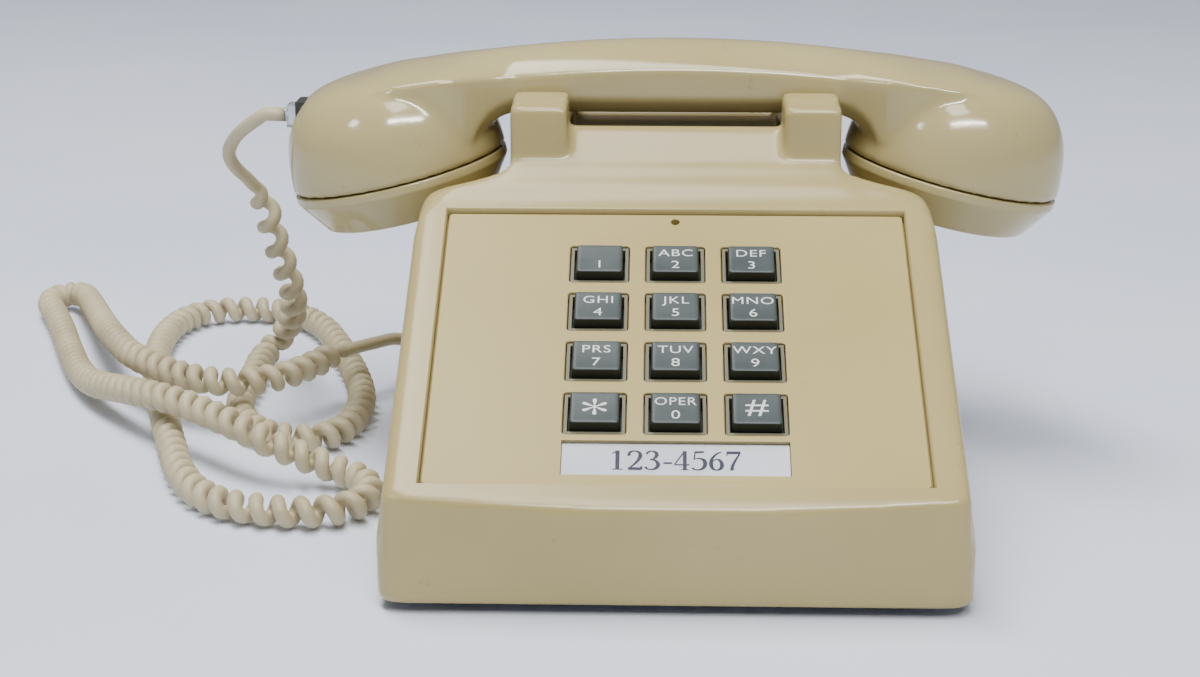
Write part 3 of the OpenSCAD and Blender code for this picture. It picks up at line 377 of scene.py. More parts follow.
def makeCord():
    line = makeCordLine()
    shape = tubeShape(line, cordLook["cable"] / 2, cordLook["sides"])
    cord = newPiece("handsetCord", shape, vinylJacket())
    cord.data.shade_smooth()
    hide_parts("handset_cord")
    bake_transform(cord)


makeCord()
print("cord ready")


def mouldedAbs(name, light, dark, roughness, shine):
    # ABS, injection moulded and handled for years: an even colour yellowed in soft clouds, a
    # gloss worn dull in places, rare small dark marks and a barely seen moulding texture, drawn
    # at ten times its real 0.1 mm so that it shows
    material = cloudedFinish(name, hexColour(dark), hexColour(light), 70,
                             (roughness * 0.8, roughness * 1.25), 1.1, 0.08, detail=4,
                             IOR=1.54, Specular_IOR_Level=shine)
    tree, shader, colour, place = openFinish(material)
    speck = addNode(tree, "ShaderNodeTexNoise",
                    {"Scale": perMetre(6), "Detail": 5, "Roughness": 0.65}, {"Vector": place})
    marks = addNode(tree, "ShaderNodeValToRGB", links={"Fac": speck.outputs["Fac"]},
                    stops=[(0.24, hexColour("#cec7b6")), (0.33, hexColour("#ffffff"))])
    worn = addNode(tree, "ShaderNodeMix", {"Factor": 0.55},
                   {"A": colour, "B": marks.outputs["Color"]},
                   data_type="RGBA", blend_type="MULTIPLY")
    tree.links.new(worn.outputs["Result"], shader.inputs["Base Color"])
    return material


def keyAbs():
    # ABS, injection moulded: slate tops polished by fingers, and sides darkened with painted shade,
    # more the further they turn from the face
    material = cloudedFinish("keyAbsMoulded", hexColour("#434b4d"), hexColour("#4d5557"), 9,
                             (0.3, 0.42), 0.9, 0.1, IOR=1.54, Specular_IOR_Level=0.2)
    tree, shader, colour, _ = openFinish(material)
    # Painted shade: the sides of each key fade to a near-black colour as they turn away from the
    # face
    facing = addNode(tree, "ShaderNodeNewGeometry").outputs["Normal"]
    upwards = addNode(tree, "ShaderNodeVectorMath", {1: (0, -slopeSin, slopeCos)},
                      {0: facing}, operation="DOT_PRODUCT")
    unshaded = addNode(tree, "ShaderNodeMapRange", {"From Min": 0.55, "From Max": 0.92},
                    {"Value": upwards.outputs["Value"]})
    shade = addNode(tree, "ShaderNodeMix", {"A": hexColour("#24271f")},
                    {"Factor": unshaded.outputs["Result"], "B": colour}, data_type="RGBA")
    tree.links.new(shade.outputs["Result"], shader.inputs["Base Color"])
    return material


def plainMoulded(name, colour, roughness=0.45, grain=1.4, strength=0.15, **look):
    # A plain moulding: one colour with a slight cloud in it, a satin sheen and a fine grain
    base = hexColour(colour)
    duller = tuple(c * 0.88 for c in base[:3]) + (1,)
    return cloudedFinish(name, duller, base, 17, (roughness - 0.05, roughness + 0.07),
                         grain, strength, **look)


def sheetMetal(name, colour, roughness, streak, strength=0.2):
    # Metal with the lines its rolling, spinning or turning leaves: streaks this wide in mm
    material, tree, shader, place = startMaterial(name, Metallic=1.0)
    drawn = addNode(tree, "ShaderNodeMapping", {"Scale": (0.06, 1, 1)}, {"Vector": place})
    lines = addNode(tree, "ShaderNodeTexNoise", {"Scale": perMetre(streak), "Detail": 4},
                    {"Vector": drawn.outputs["Vector"]})
    base = hexColour(colour)
    duller = tuple(c * 0.8 for c in base[:3]) + (1,)
    shade = addNode(tree, "ShaderNodeValToRGB", links={"Fac": lines.outputs["Fac"]},
                    stops=[(0.35, duller), (0.65, base)])
    tree.links.new(shade.outputs["Color"], shader.inputs["Base Color"])
    addGloss(tree, shader, lines.outputs["Fac"], roughness - 0.06, roughness + 0.1)
    bump = addNode(tree, "ShaderNodeBump", {"Strength": strength, "Distance": 0.05 * mm},
                   {"Height": lines.outputs["Fac"]})
    tree.links.new(bump.outputs["Normal"], shader.inputs["Normal"])
    return material


def clearSheet():
    # Acrylic, cut from thin sheet: the card shows through it unchanged, with a faint hard
    # reflection and a few rubbed patches on top
    material, tree, place = emptyMaterial("windowAcrylicCut")
    rub = addNode(tree, "ShaderNodeTexNoise", {"Scale": perMetre(12), "Detail": 4},
                  {"Vector": place})
    spread = addNode(tree, "ShaderNodeMapRange", {"To Min": 0.05, "To Max": 0.3},
                     {"Value": rub.outputs["Fac"]})
    through = addNode(tree, "ShaderNodeBsdfTransparent", {"Color": hexColour("#fbfcff")})
    shine = addNode(tree, "ShaderNodeBsdfGlossy", {"Color": hexColour("#8d8f94")},
                    {"Roughness": spread.outputs["Result"]})
    angle = addNode(tree, "ShaderNodeFresnel", {"IOR": 1.3})
    both = addNode(tree, "ShaderNodeMixShader", links={
        0: angle.outputs["Fac"], 1: through.outputs["BSDF"], 2: shine.outputs["BSDF"]})
    addNode(tree, "ShaderNodeOutputMaterial", links={"Surface": both.outputs["Shader"]})
    return material


housingAbs = mouldedAbs("housingAbsMoulded", "#b8a873", "#ad9d68", 0.25, 0.34)
handsetAbs = mouldedAbs("handsetAbsMoulded", "#bfb180", "#b3a574", 0.12, 0.45)
plateAbs = mouldedAbs("faceplateAbsMoulded", "#bcaa70", "#b3a166", 0.36, 0.26)
keyPlastic = keyAbs()
# The same ABS as the keys but never touched: dull and olive with dust
collarPlastic = plainMoulded("collarAbsMoulded", "#6c684e", 0.5)
# Paper, printed: a matt white with fibres just felt
cardPaper = plainMoulded("cardPaperPrinted", "#fafaff", 0.8, 0.4, 0.2)
clearAcrylic = clearSheet()
# Polycarbonate, moulded: almost clear, with soft edges that catch the light
clearPolycarbonate = plainMoulded("plugPolycarbonateMoulded", "#e6ecee", 0.12, 1.1, 0.03,
                                  Transmission_Weight=0.85, IOR=1.58)
# Nylon, moulded black: a low even sheen
blackNylon = plainMoulded("jackNylonMoulded", "#2a2a29", 0.5)
# Phenolic, compression moulded: grey-brown and dull
networkCase = plainMoulded("networkPhenolicMoulded", "#56534c", 0.5)
# Phenolic paper board, pressed: brown with a fibrous grain
boardLaminate = plainMoulded("boardPhenolicPressed", "#6b5534", 0.6, 0.7, 0.3)
# Rubber, moulded: nearly black and without shine
footRubber = plainMoulded("footRubberMoulded", "#222120", 0.85, 0.8, 0.4)
# Nylon, moulded white: slightly creamy
plungerNylon = plainMoulded("plungerNylonMoulded", "#d6d2c4", 0.4)
# Enamelled wire, wound: red-brown with fine ridges
varnishedWire = plainMoulded("coilWireVarnished", "#7c3f22", 0.35, 0.4, 0.5)
# Steel sheet, rolled and zinc plated: cool grey with fine lengthwise lines
zincSteel = sheetMetal("steelZincPlated", "#a9adb0", 0.34, 0.6)
# Brass, spun over a form: warm and bright, with fine rings left by the tool
spunBrass = sheetMetal("gongBrassSpun", "#c2a25c", 0.26, 0.5)
# Brass, turned from bar: like the gongs, a little duller
turnedBrass = sheetMetal("terminalBrassTurned", "#bd9c55", 0.34, 0.4)
# Aluminium, drawn: pale, with lines up the cup
capsuleAluminium = sheetMetal("capsuleAluminiumDrawn", "#b5b2a6", 0.35, 0.5)

dress(collarPlastic, "keypad_frame")
dress(cardPaper, "number_card")
dress(clearAcrylic, "card_window")
dress(clearPolycarbonate, "handset_plug", "base_plug")
dress(blackNylon, "handset_jack", "line_jack", "handset_socket", "volume_wheel")
dress(networkCase, "network_box")
dress(boardLaminate, "keypad_board")
dress(footRubber, "rubber_feet")
dress(zincSteel, "base_plate", "base_screws", "hook_bracket", "hook_lever", "hook_pin",
      "hook_springs", "ringer_frame", "ringer_core", "gong_screws", "clapper", "clapper_pin",
      "volume_bracket")
dress(spunBrass, "gong_left", "gong_right")
dress(turnedBrass, "network_terminals", "hook_contacts")
dress(varnishedWire, "ringer_coil")
dress(plungerNylon, "plunger_left", "plunger_right")
dress(capsuleAluminium, "receiver_capsule", "transmitter_capsule")
print("materials ready")


def polygonDistance(outline, u, v):
    # Distance to a closed outline in its own plane, below zero inside it
    u, v = np.broadcast_arrays(u, v)
    best = np.full(u.shape, 1e12)
    inside = np.zeros(u.shape, bool)
    for i, (bu, bv) in enumerate(outline):
        au, av = outline[i - 1]
        eu, ev = bu - au, bv - av
        share = np.clip(((u - au) * eu + (v - av) * ev) / (eu * eu + ev * ev), 0, 1)
        best = np.minimum(best, (u - au - eu * share) ** 2 + (v - av - ev * share) ** 2)
        if abs(ev) > 1e-9:
            inside ^= ((av <= v) != (bv <= v)) & (u < au + (v - av) * eu / ev)
    return np.where(inside, -1, 1) * np.sqrt(best)


def mirrored(half):
    # The right half of an outline, and then its left half
    return half + [(-point[0], *point[1:]) for point in reversed(half)]


def roundedOutline(corners, steps=5):
    # An outline of corners (u, v, radius), with an arc in place of each that has a radius
    points = [np.array(corner[:2], float) for corner in corners]
    found = []
    for i, here in enumerate(points):
        radius = corners[i][2]
        if radius <= 0:
            found.append(tuple(here))
            continue
        before = points[i - 1] - here
        after = points[(i + 1) % len(points)] - here
        before, after = before / np.linalg.norm(before), after / np.linalg.norm(after)
        half = math.acos(np.clip(before.dot(after), -1, 1)) / 2
        middle = (before + after) / np.linalg.norm(before + after)
        centre = here + middle * radius / math.sin(half)
        a = here + before * radius / math.tan(half) - centre
        b = here + after * radius / math.tan(half) - centre
        first = math.atan2(a[1], a[0])
        turn = math.atan2(a[0] * b[1] - a[1] * b[0], a.dot(b))
        for k in range(steps + 1):
            angle = first + turn * k / steps
            found.append((centre[0] + radius * math.cos(angle),
                          centre[1] + radius * math.sin(angle)))
    return found


def profileDistance(corners, u, v):
    # Distance to a closed outline of corners (u, v, radius)
    return polygonDistance(roundedOutline(corners), u, v)


def overlap(*distances):
    # What lies inside every one of several shapes
    return np.maximum.reduce(np.broadcast_arrays(*distances))


def softUnion(a, b, reach):
    # Two shapes joined, with the corner between them filled where both are within reach
    near = np.maximum(reach - np.abs(a - b), 0) / reach
    return np.minimum(a, b) - near * near * reach / 4


def boxDistance(x, y, z, low, high):
    return overlap(low[0] - x, x - high[0], low[1] - y, y - high[1], low[2] - z, z - high[2])


def cellsRound(edges, axis):
    # The four grid cells that share each of these edges along one axis
    u, v = [k for k in range(3) if k != axis]
    for du, dv in ((0, 0), (0, 1), (1, 0), (1, 1)):
        cell = edges.copy()
        cell[:, u] -= du
        cell[:, v] -= dv
        yield cell


def surfaceNet(distance, box, step):
    # One point in each grid cell that the surface crosses, joined into four-sided faces
    low, high = box
    axes = [np.arange(a, b + step, step) for a, b in zip(low, high)]
    grid = distance(axes[0][:, None, None], axes[1][None, :, None], axes[2][None, None, :])
    inside = grid < 0
    cells = np.array(grid.shape) - 1
    total = np.zeros((*cells, 3))
    count = np.zeros(cells)
    crossings = []
    for axis in range(3):
        here, ahead = [slice(None)] * 3, [slice(None)] * 3
        here[axis], ahead[axis] = slice(None, -1), slice(1, None)
        here, ahead = tuple(here), tuple(ahead)
        edges = np.argwhere(inside[here] != inside[ahead])
        place = tuple(edges.T)
        a, b = grid[here][place], grid[ahead][place]
        points = edges.astype(float)
        points[:, axis] += a / (a - b)
        for cell in cellsRound(edges, axis):
            good = np.all((cell >= 0) & (cell < cells), axis=1)
            np.add.at(total, tuple(cell[good].T), points[good])
            np.add.at(count, tuple(cell[good].T), 1)
        crossings.append((axis, edges, inside[here][place]))
    used = count > 0
    number = np.full(cells, -1)
    number[used] = np.arange(used.sum())
    points = total[used] / count[used][:, None] * step + np.array(low)
    faces = []
    for axis, edges, solid in crossings:
        corners = [number[tuple(np.clip(cell, 0, cells - 1).T)] for cell in cellsRound(edges, axis)]
        quads = np.stack([corners[k] for k in (0, 2, 3, 1)], axis=1)
        backwards = solid if axis == 1 else ~solid
        quads[backwards] = quads[backwards][:, ::-1]
        faces.append(quads)
    return points, np.concatenate(faces)


def settle(points, faces, distance, moves, rounds):
    # Moves the points onto the surface, then evens them out to round its edges
    nudge = 0.05
    for _ in range(moves):
        here = distance(*points.T)
        slope = np.stack([distance(*(points + nudge * np.eye(3)[k]).T)
                          - distance(*(points - nudge * np.eye(3)[k]).T)
                          for k in range(3)], axis=1) / (2 * nudge)
        size = np.maximum((slope ** 2).sum(axis=1), 0.25)
        points = points - slope * np.clip(here / size, -0.8, 0.8)[:, None]
    edges = np.concatenate([faces[:, [k, (k + 1) % 4]] for k in range(4)])
    edges = np.unique(np.sort(edges, axis=1), axis=0)
    ends = np.concatenate([edges[:, 0], edges[:, 1]])
    others = np.concatenate([edges[:, 1], edges[:, 0]])
    degree = np.bincount(ends, minlength=len(points))[:, None]
    for _ in range(rounds):
        around = np.stack([np.bincount(ends, points[others, k], len(points))
                           for k in range(3)], axis=1) / degree
        points = points + 0.5 * (around - points)
    return points


handsetShape = {
    "reach": 79, "tilt": 13.5,  # where the axis of an end meets its parting line, and its lean
    "partingHeight": 80.5,
    "radius": 31.3, "height": 28.6,  # of the dome above it
    "bore": 26.8, "boreDepth": 14,  # the hole for a capsule
    "endBlend": 1.2,  # how softly an end meets the handle
    "under": 98.6, "thick": 19.3, "width": 32,  # of the handle in the middle
    "arch": 413,  # radius of its top, lengthwise
    "bevel": 4.2, "bevelNormal": (0.682, 0.731),  # of its lower edges: height, and which way
    "side": 8.4, "sideDrop": 0.85, "sideFlare": 0.28,  # height of its sides, and what moves it
    "bendAt": 42.8, "bend": 13.5,  # where its underside turns down, and with what radius
    "flare": 7.3, "flareAt": (45, 66, 78, 90), "flareShare": (0, 1, 1, 0.47),  # how it widens
    "dipFrom": 80, "dip": 0.02,  # where its top sinks into the dome
    "plugHole": ((-116, -5.25, -4.4), (-97.3, 5.25, 4.4)),  # round the middle of the plug
    "gridBox": ((-114, 2, 70), (114, 70, 121)), "grain": 1.0,  # of the grid it is worked out on
}


def bulbOutline():
    # The outline of an end above its parting line, cut through its axis
    r, h = handsetShape["radius"], handsetShape["height"]
    dome = [(r, 0.6), (r - 0.2, h * 0.16), (r - 0.8, h * 0.32), (r - 1.7, h * 0.47),
            (r - 3.1, h * 0.6), (r - 5.3, h * 0.73), (r - 8.5, h * 0.85), (r - 12.8, h * 0.935),
            (r - 17.8, h * 0.98), (r - 24, h), (0, h)]
    fine = [tuple(p) for p in splinePoints(dome, 4)]
    return mirrored([(r - 0.5, 0), *fine[:-1]])


def endPlace(x, y, z, side):
    # A point in the frame of one end: its distance from the axis, and its height
    turn = side * math.radians(handsetShape["tilt"])
    dx, dz = x - side * handsetShape["reach"], z - handsetShape["partingHeight"]
    across = dx * math.cos(turn) - dz * math.sin(turn)
    return (np.sqrt(across ** 2 + (y - handsetMiddle) ** 2),
            dx * math.sin(turn) + dz * math.cos(turn))


def handleDistance(x, y, z):
    # A crowned bar with bevelled lower edges, which widens and turns down towards its ends
    s = handsetShape
    far = np.abs(x)
    grow = smoothStep((far - s["flareAt"][0]) / (s["flareAt"][1] - s["flareAt"][0]))
    grow = np.where(far > s["flareAt"][2], np.interp(far, s["flareAt"], s["flareShare"]), grow)
    spread = s["flare"] * grow
    half = s["width"] / 2 + spread
    off = np.abs(y - handsetMiddle)
    drop = s["arch"] - np.sqrt(s["arch"] ** 2 - x * x)
    top = s["under"] + s["thick"] - drop - s["dip"] * np.maximum(far - s["dipFrom"], 0) ** 2
    rise = top - (s["under"] + s["bevel"] + s["side"]
                  - s["sideDrop"] * drop + s["sideFlare"] * spread)
    crownRadius = (half ** 2 + rise ** 2) / (2 * rise)
    crown = np.sqrt(off ** 2 + (z - top + crownRadius) ** 2) - crownRadius
    past = np.clip(far - s["bendAt"], 0, s["bend"] - 0.3)
    level = np.sqrt(s["bend"] ** 2 - past * past)
    low = s["under"] - s["bend"] + level
    bottom = (low - z) * level / s["bend"]
    outwards, down = s["bevelNormal"]
    bevel = outwards * (off - half) - down * (z - low - s["bevel"])
    return overlap(crown, off - half, bottom, bevel, far - s["flareAt"][3])


def handsetDistance(x, y, z):
    s = handsetShape
    outline = bulbOutline()
    solid = handleDistance(x, y, z)
    bores = []
    for side in (-1, 1):
        r, h = endPlace(x, y, z, side)
        solid = softUnion(solid, polygonDistance(outline, r, h), s["endBlend"])
        bores.append(np.maximum(r - s["bore"], h - s["boreDepth"]))
    for bore in bores:
        solid = np.maximum(solid, -bore)
    return np.maximum(solid, -boxDistance(x, y - handsetMiddle, z - plugHeight, *s["plugHole"]))


def makeHandset():
    s = handsetShape
    points, faces = surfaceNet(handsetDistance, s["gridBox"], s["grain"])
    points = settle(points, faces, handsetDistance, moves=1, rounds=3)
    shell = newPiece("handsetShell", (points, faces.tolist()), handsetAbs)
    seatPiece(shell, 50, "handset", "handset_shell")
    print("handset shell:", len(faces), "faces")


makeHandset()


housingShape = {
    "front": -107, "back": 107, "half": 71.5, "foot": 2,  # its outline, and its lower edge
    "bow": 3.4,  # how far the front and the back curve back towards the corners
    "frontCorner": 7, "backCorner": 16,
    "lean": 3, "leanTop": 28,  # how far the front comes in at its foot, and from what height
    "wall": 2.6,
    # Of the slope: its half width, where the faceplate starts, and its length above and below
    "faceHalf": 69.5, "faceRise": 31.9, "faceLength": 107.5, "lip": 8,
    "edge": 3.5, "edgeDepth": 12,  # its round side edges, and how far down they shape the sides
    "sideLean": 0.033, "sideRelease": 1.1,  # how the sides spread to that depth, and below it
    "split": 14,  # where the front part meets the back part
    "shoulder": 62.5, "backHeight": 22,  # heights of the shoulders and of the upright back
    "cradle": handsetMiddle, "neckHalf": 45, "neckLean": 0.95, "neckBlend": 5,
    "rim": 97.4, "trough": 92, "troughHalf": 23.4,  # of the cradle between the ears
    "flareHalf": 66, "flareRise": 4.5, "flareDrop": 4.2, "flareBlend": 2.5,  # neck to shoulders
    "seat": 98.3, "seatSide": 102.7, "seatRun": 4.2,  # where the handle rests on the ears
    "earAt": 37.2, "earHalf": 7.8, "grip": 16.4, "earDepth": 18.6,
    "earHeight": 104, "earRise": 1.7, "earChamfer": 0.8, "earFoot": 88,
    "holdHalf": 28, "holdLow": 64, "holdHigh": 86, "holdFront": 46.03,  # for fingers, behind
    "bossAt": 62.5, "bossRows": (-70, 55), "bossRadius": 4.5, "bossLow": 4.8, "bossHigh": 33,
    "screwHole": 1.85, "screwDepth": 16.5, "plungerHole": 3.15,
    "lineHole": ((-27.2, 92, 5.8), (-12.8, 122, 20.2)),
    "cordHole": ((-86.5, 80.8, 5.8), (-56.5, 95.2, 20.2)),
    # Under the faceplate, in the face's own frame: across, up the slope, outwards
    "recessHalf": 60.9, "recessLength": 98.6,
    "ledge": ((-64.7, -3.5, -6.4), (64.7, 101.5, 20)),
    "window": ((-54.3, 6, -7.4), (54.3, 92, 10)),
    "gridBox": ((-73, -109, 0.5), (73, 109, 108)), "grain": 1.2,
}
# Painted shade in the trough under the handle: the box it fills, and how dark it gets
troughShade = {
    "half": (44.5, 23.6, 4.4),  # half of the box round the trough that it fills
    "full": 0.88,  # the share of that box in which the painted shade is at its darkest
    "cover": 0.92,  # how much of the plastic's colour it hides there
    "colour": "#2c2117",
}
faceY = housingShape["front"] + housingShape["lip"] * slopeCos


def paintTroughShade(material):
    # Painted shade in the trough under the handle, where it lies in shadow: dark brown there, and
    # without gloss
    tree, shader, unshaded, place = openFinish(material)
    gloss = shader.inputs["Specular IOR Level"]
    middle = (0, housingShape["cradle"] * mm, housingShape["trough"] * mm)
    half = tuple(c * mm for c in troughShade["half"])
    inside = addNode(tree, "ShaderNodeVectorMath", {1: middle}, {0: place}, operation="SUBTRACT")
    size = addNode(tree, "ShaderNodeVectorMath", links={0: inside.outputs["Vector"]},
                   operation="ABSOLUTE")
    share = addNode(tree, "ShaderNodeVectorMath", {1: half}, {0: size.outputs["Vector"]},
                    operation="DIVIDE")
    axes = addNode(tree, "ShaderNodeSeparateXYZ", links={"Vector": share.outputs["Vector"]})
    across = addNode(tree, "ShaderNodeMath", links={0: axes.outputs["X"], 1: axes.outputs["Y"]},
                     operation="MAXIMUM")
    most = addNode(tree, "ShaderNodeMath", operation="MAXIMUM",
                   links={0: across.outputs["Value"], 1: axes.outputs["Z"]})
    shadeShare = addNode(tree, "ShaderNodeMapRange",
                     {"From Min": 1, "From Max": troughShade["full"], "To Max": troughShade["cover"]},
                     {"Value": most.outputs["Value"]})
    dulled = addNode(tree, "ShaderNodeMapRange", {"To Min": gloss.default_value, "To Max": 0},
                     {"Value": shadeShare.outputs["Result"]})
    tree.links.new(dulled.outputs["Result"], gloss)
    # Painted shade: dark brown laid over the plastic's own colour in the trough
    shade = addNode(tree, "ShaderNodeMix", {"B": hexColour(troughShade["colour"])},
                    {"Factor": shadeShare.outputs["Result"], "A": unshaded}, data_type="RGBA")
    tree.links.new(shade.outputs["Result"], shader.inputs["Base Color"])


paintTroughShade(housingAbs)


def facePoint(v, w):
    # [y, z] of a point v up the sloping face and w out of it
    return np.array([faceY + v * slopeCos - w * slopeSin,
                     housingShape["faceRise"] + v * slopeSin + w * slopeCos])


def faceHeight(y, z):
    # How far a point stands out of the face, and how far up the slope it lies
    return (-(y - faceY) * slopeSin + (z - housingShape["faceRise"]) * slopeCos,
            (y - faceY) * slopeCos + (z - housingShape["faceRise"]) * slopeSin)


# The top edge of the slope, and the ridge where the roof behind it starts to fall
crease = facePoint(housingShape["faceLength"], 0)
ridge = crease + [6.5, -2.7]


def planOutline():
    s = housingShape
    front, back = [], []
    for k in np.linspace(-1, 1, 17):
        corner = abs(k) == 1
        front.append((s["half"] * k, s["front"] + s["bow"] * k * k, s["frontCorner"] * corner))
        back.append((-s["half"] * k, s["back"] - s["bow"] * k * k, s["backCorner"] * corner))
    return roundedOutline(front + back, 8)


def bodyDistance(x, y, z, foot):
    # The body without its neck: a front part under the face and a lower back part
    s = housingShape
    top = crease[1]
    plan = polygonDistance(planOutline(), x, y)
    lean = s["lean"] * (s["leanTop"] - foot) / (s["leanTop"] - s["foot"])
    frontSide = profileDistance([
        (s["front"] + lean, foot, 0), (s["split"], foot, 0), (s["split"], 50, 0),
        (8, s["shoulder"], 3), (*ridge, 2.5), (*crease, 3), (*facePoint(-s["lip"], 0), 2.6)], y, z)
    lower = [(s["half"] - 0.4, foot, 0), (s["half"], 20, 0), (s["faceHalf"], 46, 4)]
    frontAcross = profileDistance(mirrored(lower + [
        (s["faceHalf"], 72, 3), (s["faceHalf"] - 1, top - 5.6, 3),
        (s["faceHalf"] - 3.8, top - 3.6, 3), (s["faceHalf"] - 7.8, top - 1.6, 0),
        (s["neckHalf"], top + s["flareRise"], 0), (s["neckHalf"], 95, 0)]), x, z)
    out = faceHeight(y, z)[0]
    sink = np.maximum(-out, 0)
    edge = s["edge"]
    side = (np.abs(x) - s["faceHalf"] - s["sideLean"] * sink
            - s["sideRelease"] * np.maximum(sink - s["edgeDepth"], 0))
    sloped = (np.minimum(np.maximum(side, out), -edge)
              + np.hypot(np.maximum(side + edge, 0), np.maximum(out + edge, 0)))
    backSide = profileDistance([
        (0, foot, 0), (s["back"] - s["lean"], foot, 0), (s["back"], s["backHeight"], 5),
        (s["back"] - 7, 40, 10), (84, 56, 20), (s["split"], s["shoulder"], 6),
        (0, s["shoulder"], 0)], y, z)
    backAcross = profileDistance(mirrored(lower + [
        (s["faceHalf"] - 1, 56, 6), (58, s["shoulder"] + 2, 10)]), x, z)
    return np.minimum(overlap(plan, frontSide, frontAcross, sloped),
                      overlap(plan, backSide, backAcross))


def neckDistance(x, y, z):
    # The neck that carries the cradle, and the flare from it down to the shoulders
    s = housingShape
    half, wide = s["neckHalf"], s["flareHalf"]
    rear = 2 * s["cradle"] - crease[0] - 3
    front = crease[0] + (s["rim"] - crease[1]) * s["neckLean"]
    side = profileDistance([
        (crease[0] - 3, 50, 0), (s["back"] - 9, 36, 0), (rear, s["rim"], 4),
        (front, s["rim"], 2.5), (*crease, 0)], y, z)
    across = profileDistance(mirrored([
        (half + 12, 30, 0), (half + 8, 60, 16), (half + 2.5, 72, 12), (half, 86, 12),
        (half, 120, 0)]), x, z)
    top, edge = crease[1] + s["flareRise"], crease[1] - s["flareDrop"]
    flareSide = polygonDistance([
        tuple(crease), (crease[0] - 2, 70), tuple(ridge + [4, -10.6]), tuple(ridge + [-1.2, 3.2]),
        (crease[0] + s["neckLean"] * s["flareRise"], top)], y, z)
    flareAcross = polygonDistance([(-wide, 60), (wide, 60), (wide, edge), (half, top),
                                   (-half, top), (-wide, edge)], x, z)
    return softUnion(np.maximum(side, across), np.maximum(flareSide, flareAcross),
                     s["flareBlend"])


def earDistance(x, y, z):
    # Two bars across the neck with their tops cut down between them to seat the handle
    s = housingShape
    far, cut = s["grip"] + s["earDepth"], s["earChamfer"]
    half = [(-far, s["earFoot"]), (-far, s["earHeight"] - cut), (cut - far, s["earHeight"]),
            (-s["grip"] - cut, s["earHeight"] + s["earRise"]),
            (-s["grip"], s["earHeight"] + s["earRise"] - cut), (-s["grip"], s["seatSide"]),
            (s["seatRun"] - s["grip"], s["seat"])]
    side = polygonDistance(mirrored(half), y - s["cradle"], z)
    return np.maximum(side, np.abs(np.abs(x) - s["earAt"]) - s["earHalf"])


def housingDistance(x, y, z):
    s = housingShape
    neck = neckDistance(x, y, z)
    solid = softUnion(bodyDistance(x, y, z, s["foot"]), neck, s["neckBlend"])
    trough = ((-90, s["cradle"] - s["troughHalf"], s["trough"]),
              (90, s["cradle"] + s["troughHalf"], 140))
    solid = np.maximum(solid, -boxDistance(x, y, z, *trough))
    outside = np.minimum(solid, earDistance(x, y, z))
    hollow = np.minimum(bodyDistance(x, y, z, -8), np.maximum(neck, z - s["trough"])) + s["wall"]
    hold = (-s["holdHalf"], s["holdFront"], s["holdLow"]), (s["holdHalf"], 140, s["holdHigh"])
    holdWalls = boxDistance(x, y, z, [v - s["wall"] for v in hold[0]],
                            [v + s["wall"] for v in hold[1]])
    out, along = faceHeight(y, z)
    ledge = boxDistance(x, along, out, *s["ledge"])
    boss = np.hypot(np.abs(x) - s["bossAt"],
                    np.minimum(*(np.abs(y - row) for row in s["bossRows"]))) - s["bossRadius"]
    boss = overlap(boss, s["bossLow"] - z, z - s["bossHigh"])
    hollow = overlap(hollow, -holdWalls, -ledge, -boss)
    return overlap(outside, -hollow, -boxDistance(x, y, z, *hold))


def joined(parts):
    # Several shapes as one
    points, faces = [], []
    for more, shape in parts:
        faces += [tuple(i + len(points) for i in face) for face in shape]
        points += [tuple(p) for p in more]
    return points, faces


def boxShape(low, high):
    ring = [(low[0], low[1]), (high[0], low[1]), (high[0], high[1]), (low[0], high[1])]
    return loft([[(x, y, z) for x, y in ring] for z in (low[2], high[2])])


def circlePoints(count, radius, start=0):
    turns = [start + 2 * math.pi * i / count for i in range(count)]
    return [(radius * math.cos(a), radius * math.sin(a)) for a in turns]


def rodShape(x, y, low, high, radius, sides=48):
    ring = circlePoints(sides, radius)
    return loft([[(x + u, y + v, z) for u, v in ring] for z in (low, high)])


def onFace(shape, x=0, v=0):
    # From a frame at this place on the sloping face (across, up the slope, outwards) to the
    # telephone's
    points, faces = shape
    return [(a + x, *facePoint(b + v, out)) for a, b, out in points], faces


def cutAway(piece, *cutters):
    # Cuts shapes out of a piece, one after the other
    for shape in cutters:
        cutter = newObject("cutter", newMesh("cutter", shape))
        tool = piece.modifiers.new("cut", "BOOLEAN")
        tool.operation = "DIFFERENCE"
        tool.solver = "MANIFOLD"
        tool.object = cutter
        bpy.context.view_layer.update()
        result = workedOut(piece)
        piece.modifiers.clear()
        piece.data = result
        bpy.data.objects.remove(cutter)


def recessCutter():
    # The faceplate's recess, whose edge flares a little where it meets the face
    rings = []
    for out, grow in ((-3.9, 0), (-0.5, 0), (0, 0.35), (0.2, 0.7), (12, 0.7)):
        x, low = housingShape["recessHalf"] + grow, -grow
        high = housingShape["recessLength"] + grow
        rings.append([(-x, low, out), (x, low, out), (x, high, out), (-x, high, out)])
    return onFace(loft(rings))


def makeHousing():
    s = housingShape
    points, faces = surfaceNet(housingDistance, s["gridBox"], s["grain"])
    points = settle(points, faces, housingDistance, moves=0, rounds=4)
    housing = newPiece("housingShell", (points, faces.tolist()), housingAbs)
    holes = [rodShape(side * s["earAt"], s["cradle"], 80, 110, s["plungerHole"])
             for side in (-1, 1)]
    holes += [rodShape(side * s["bossAt"], row, 0, s["screwDepth"], s["screwHole"], 24)
              for side in (-1, 1) for row in s["bossRows"]]
    holes += [boxShape(*s["lineHole"]), boxShape(*s["cordHole"]), recessCutter()]
    cutAway(housing, joined(holes), onFace(boxShape(*s["window"])))
    seatPiece(housing, 38, "base", "housing")
    print("housing:", len(housing.data.polygons), "faces")


makeHousing()


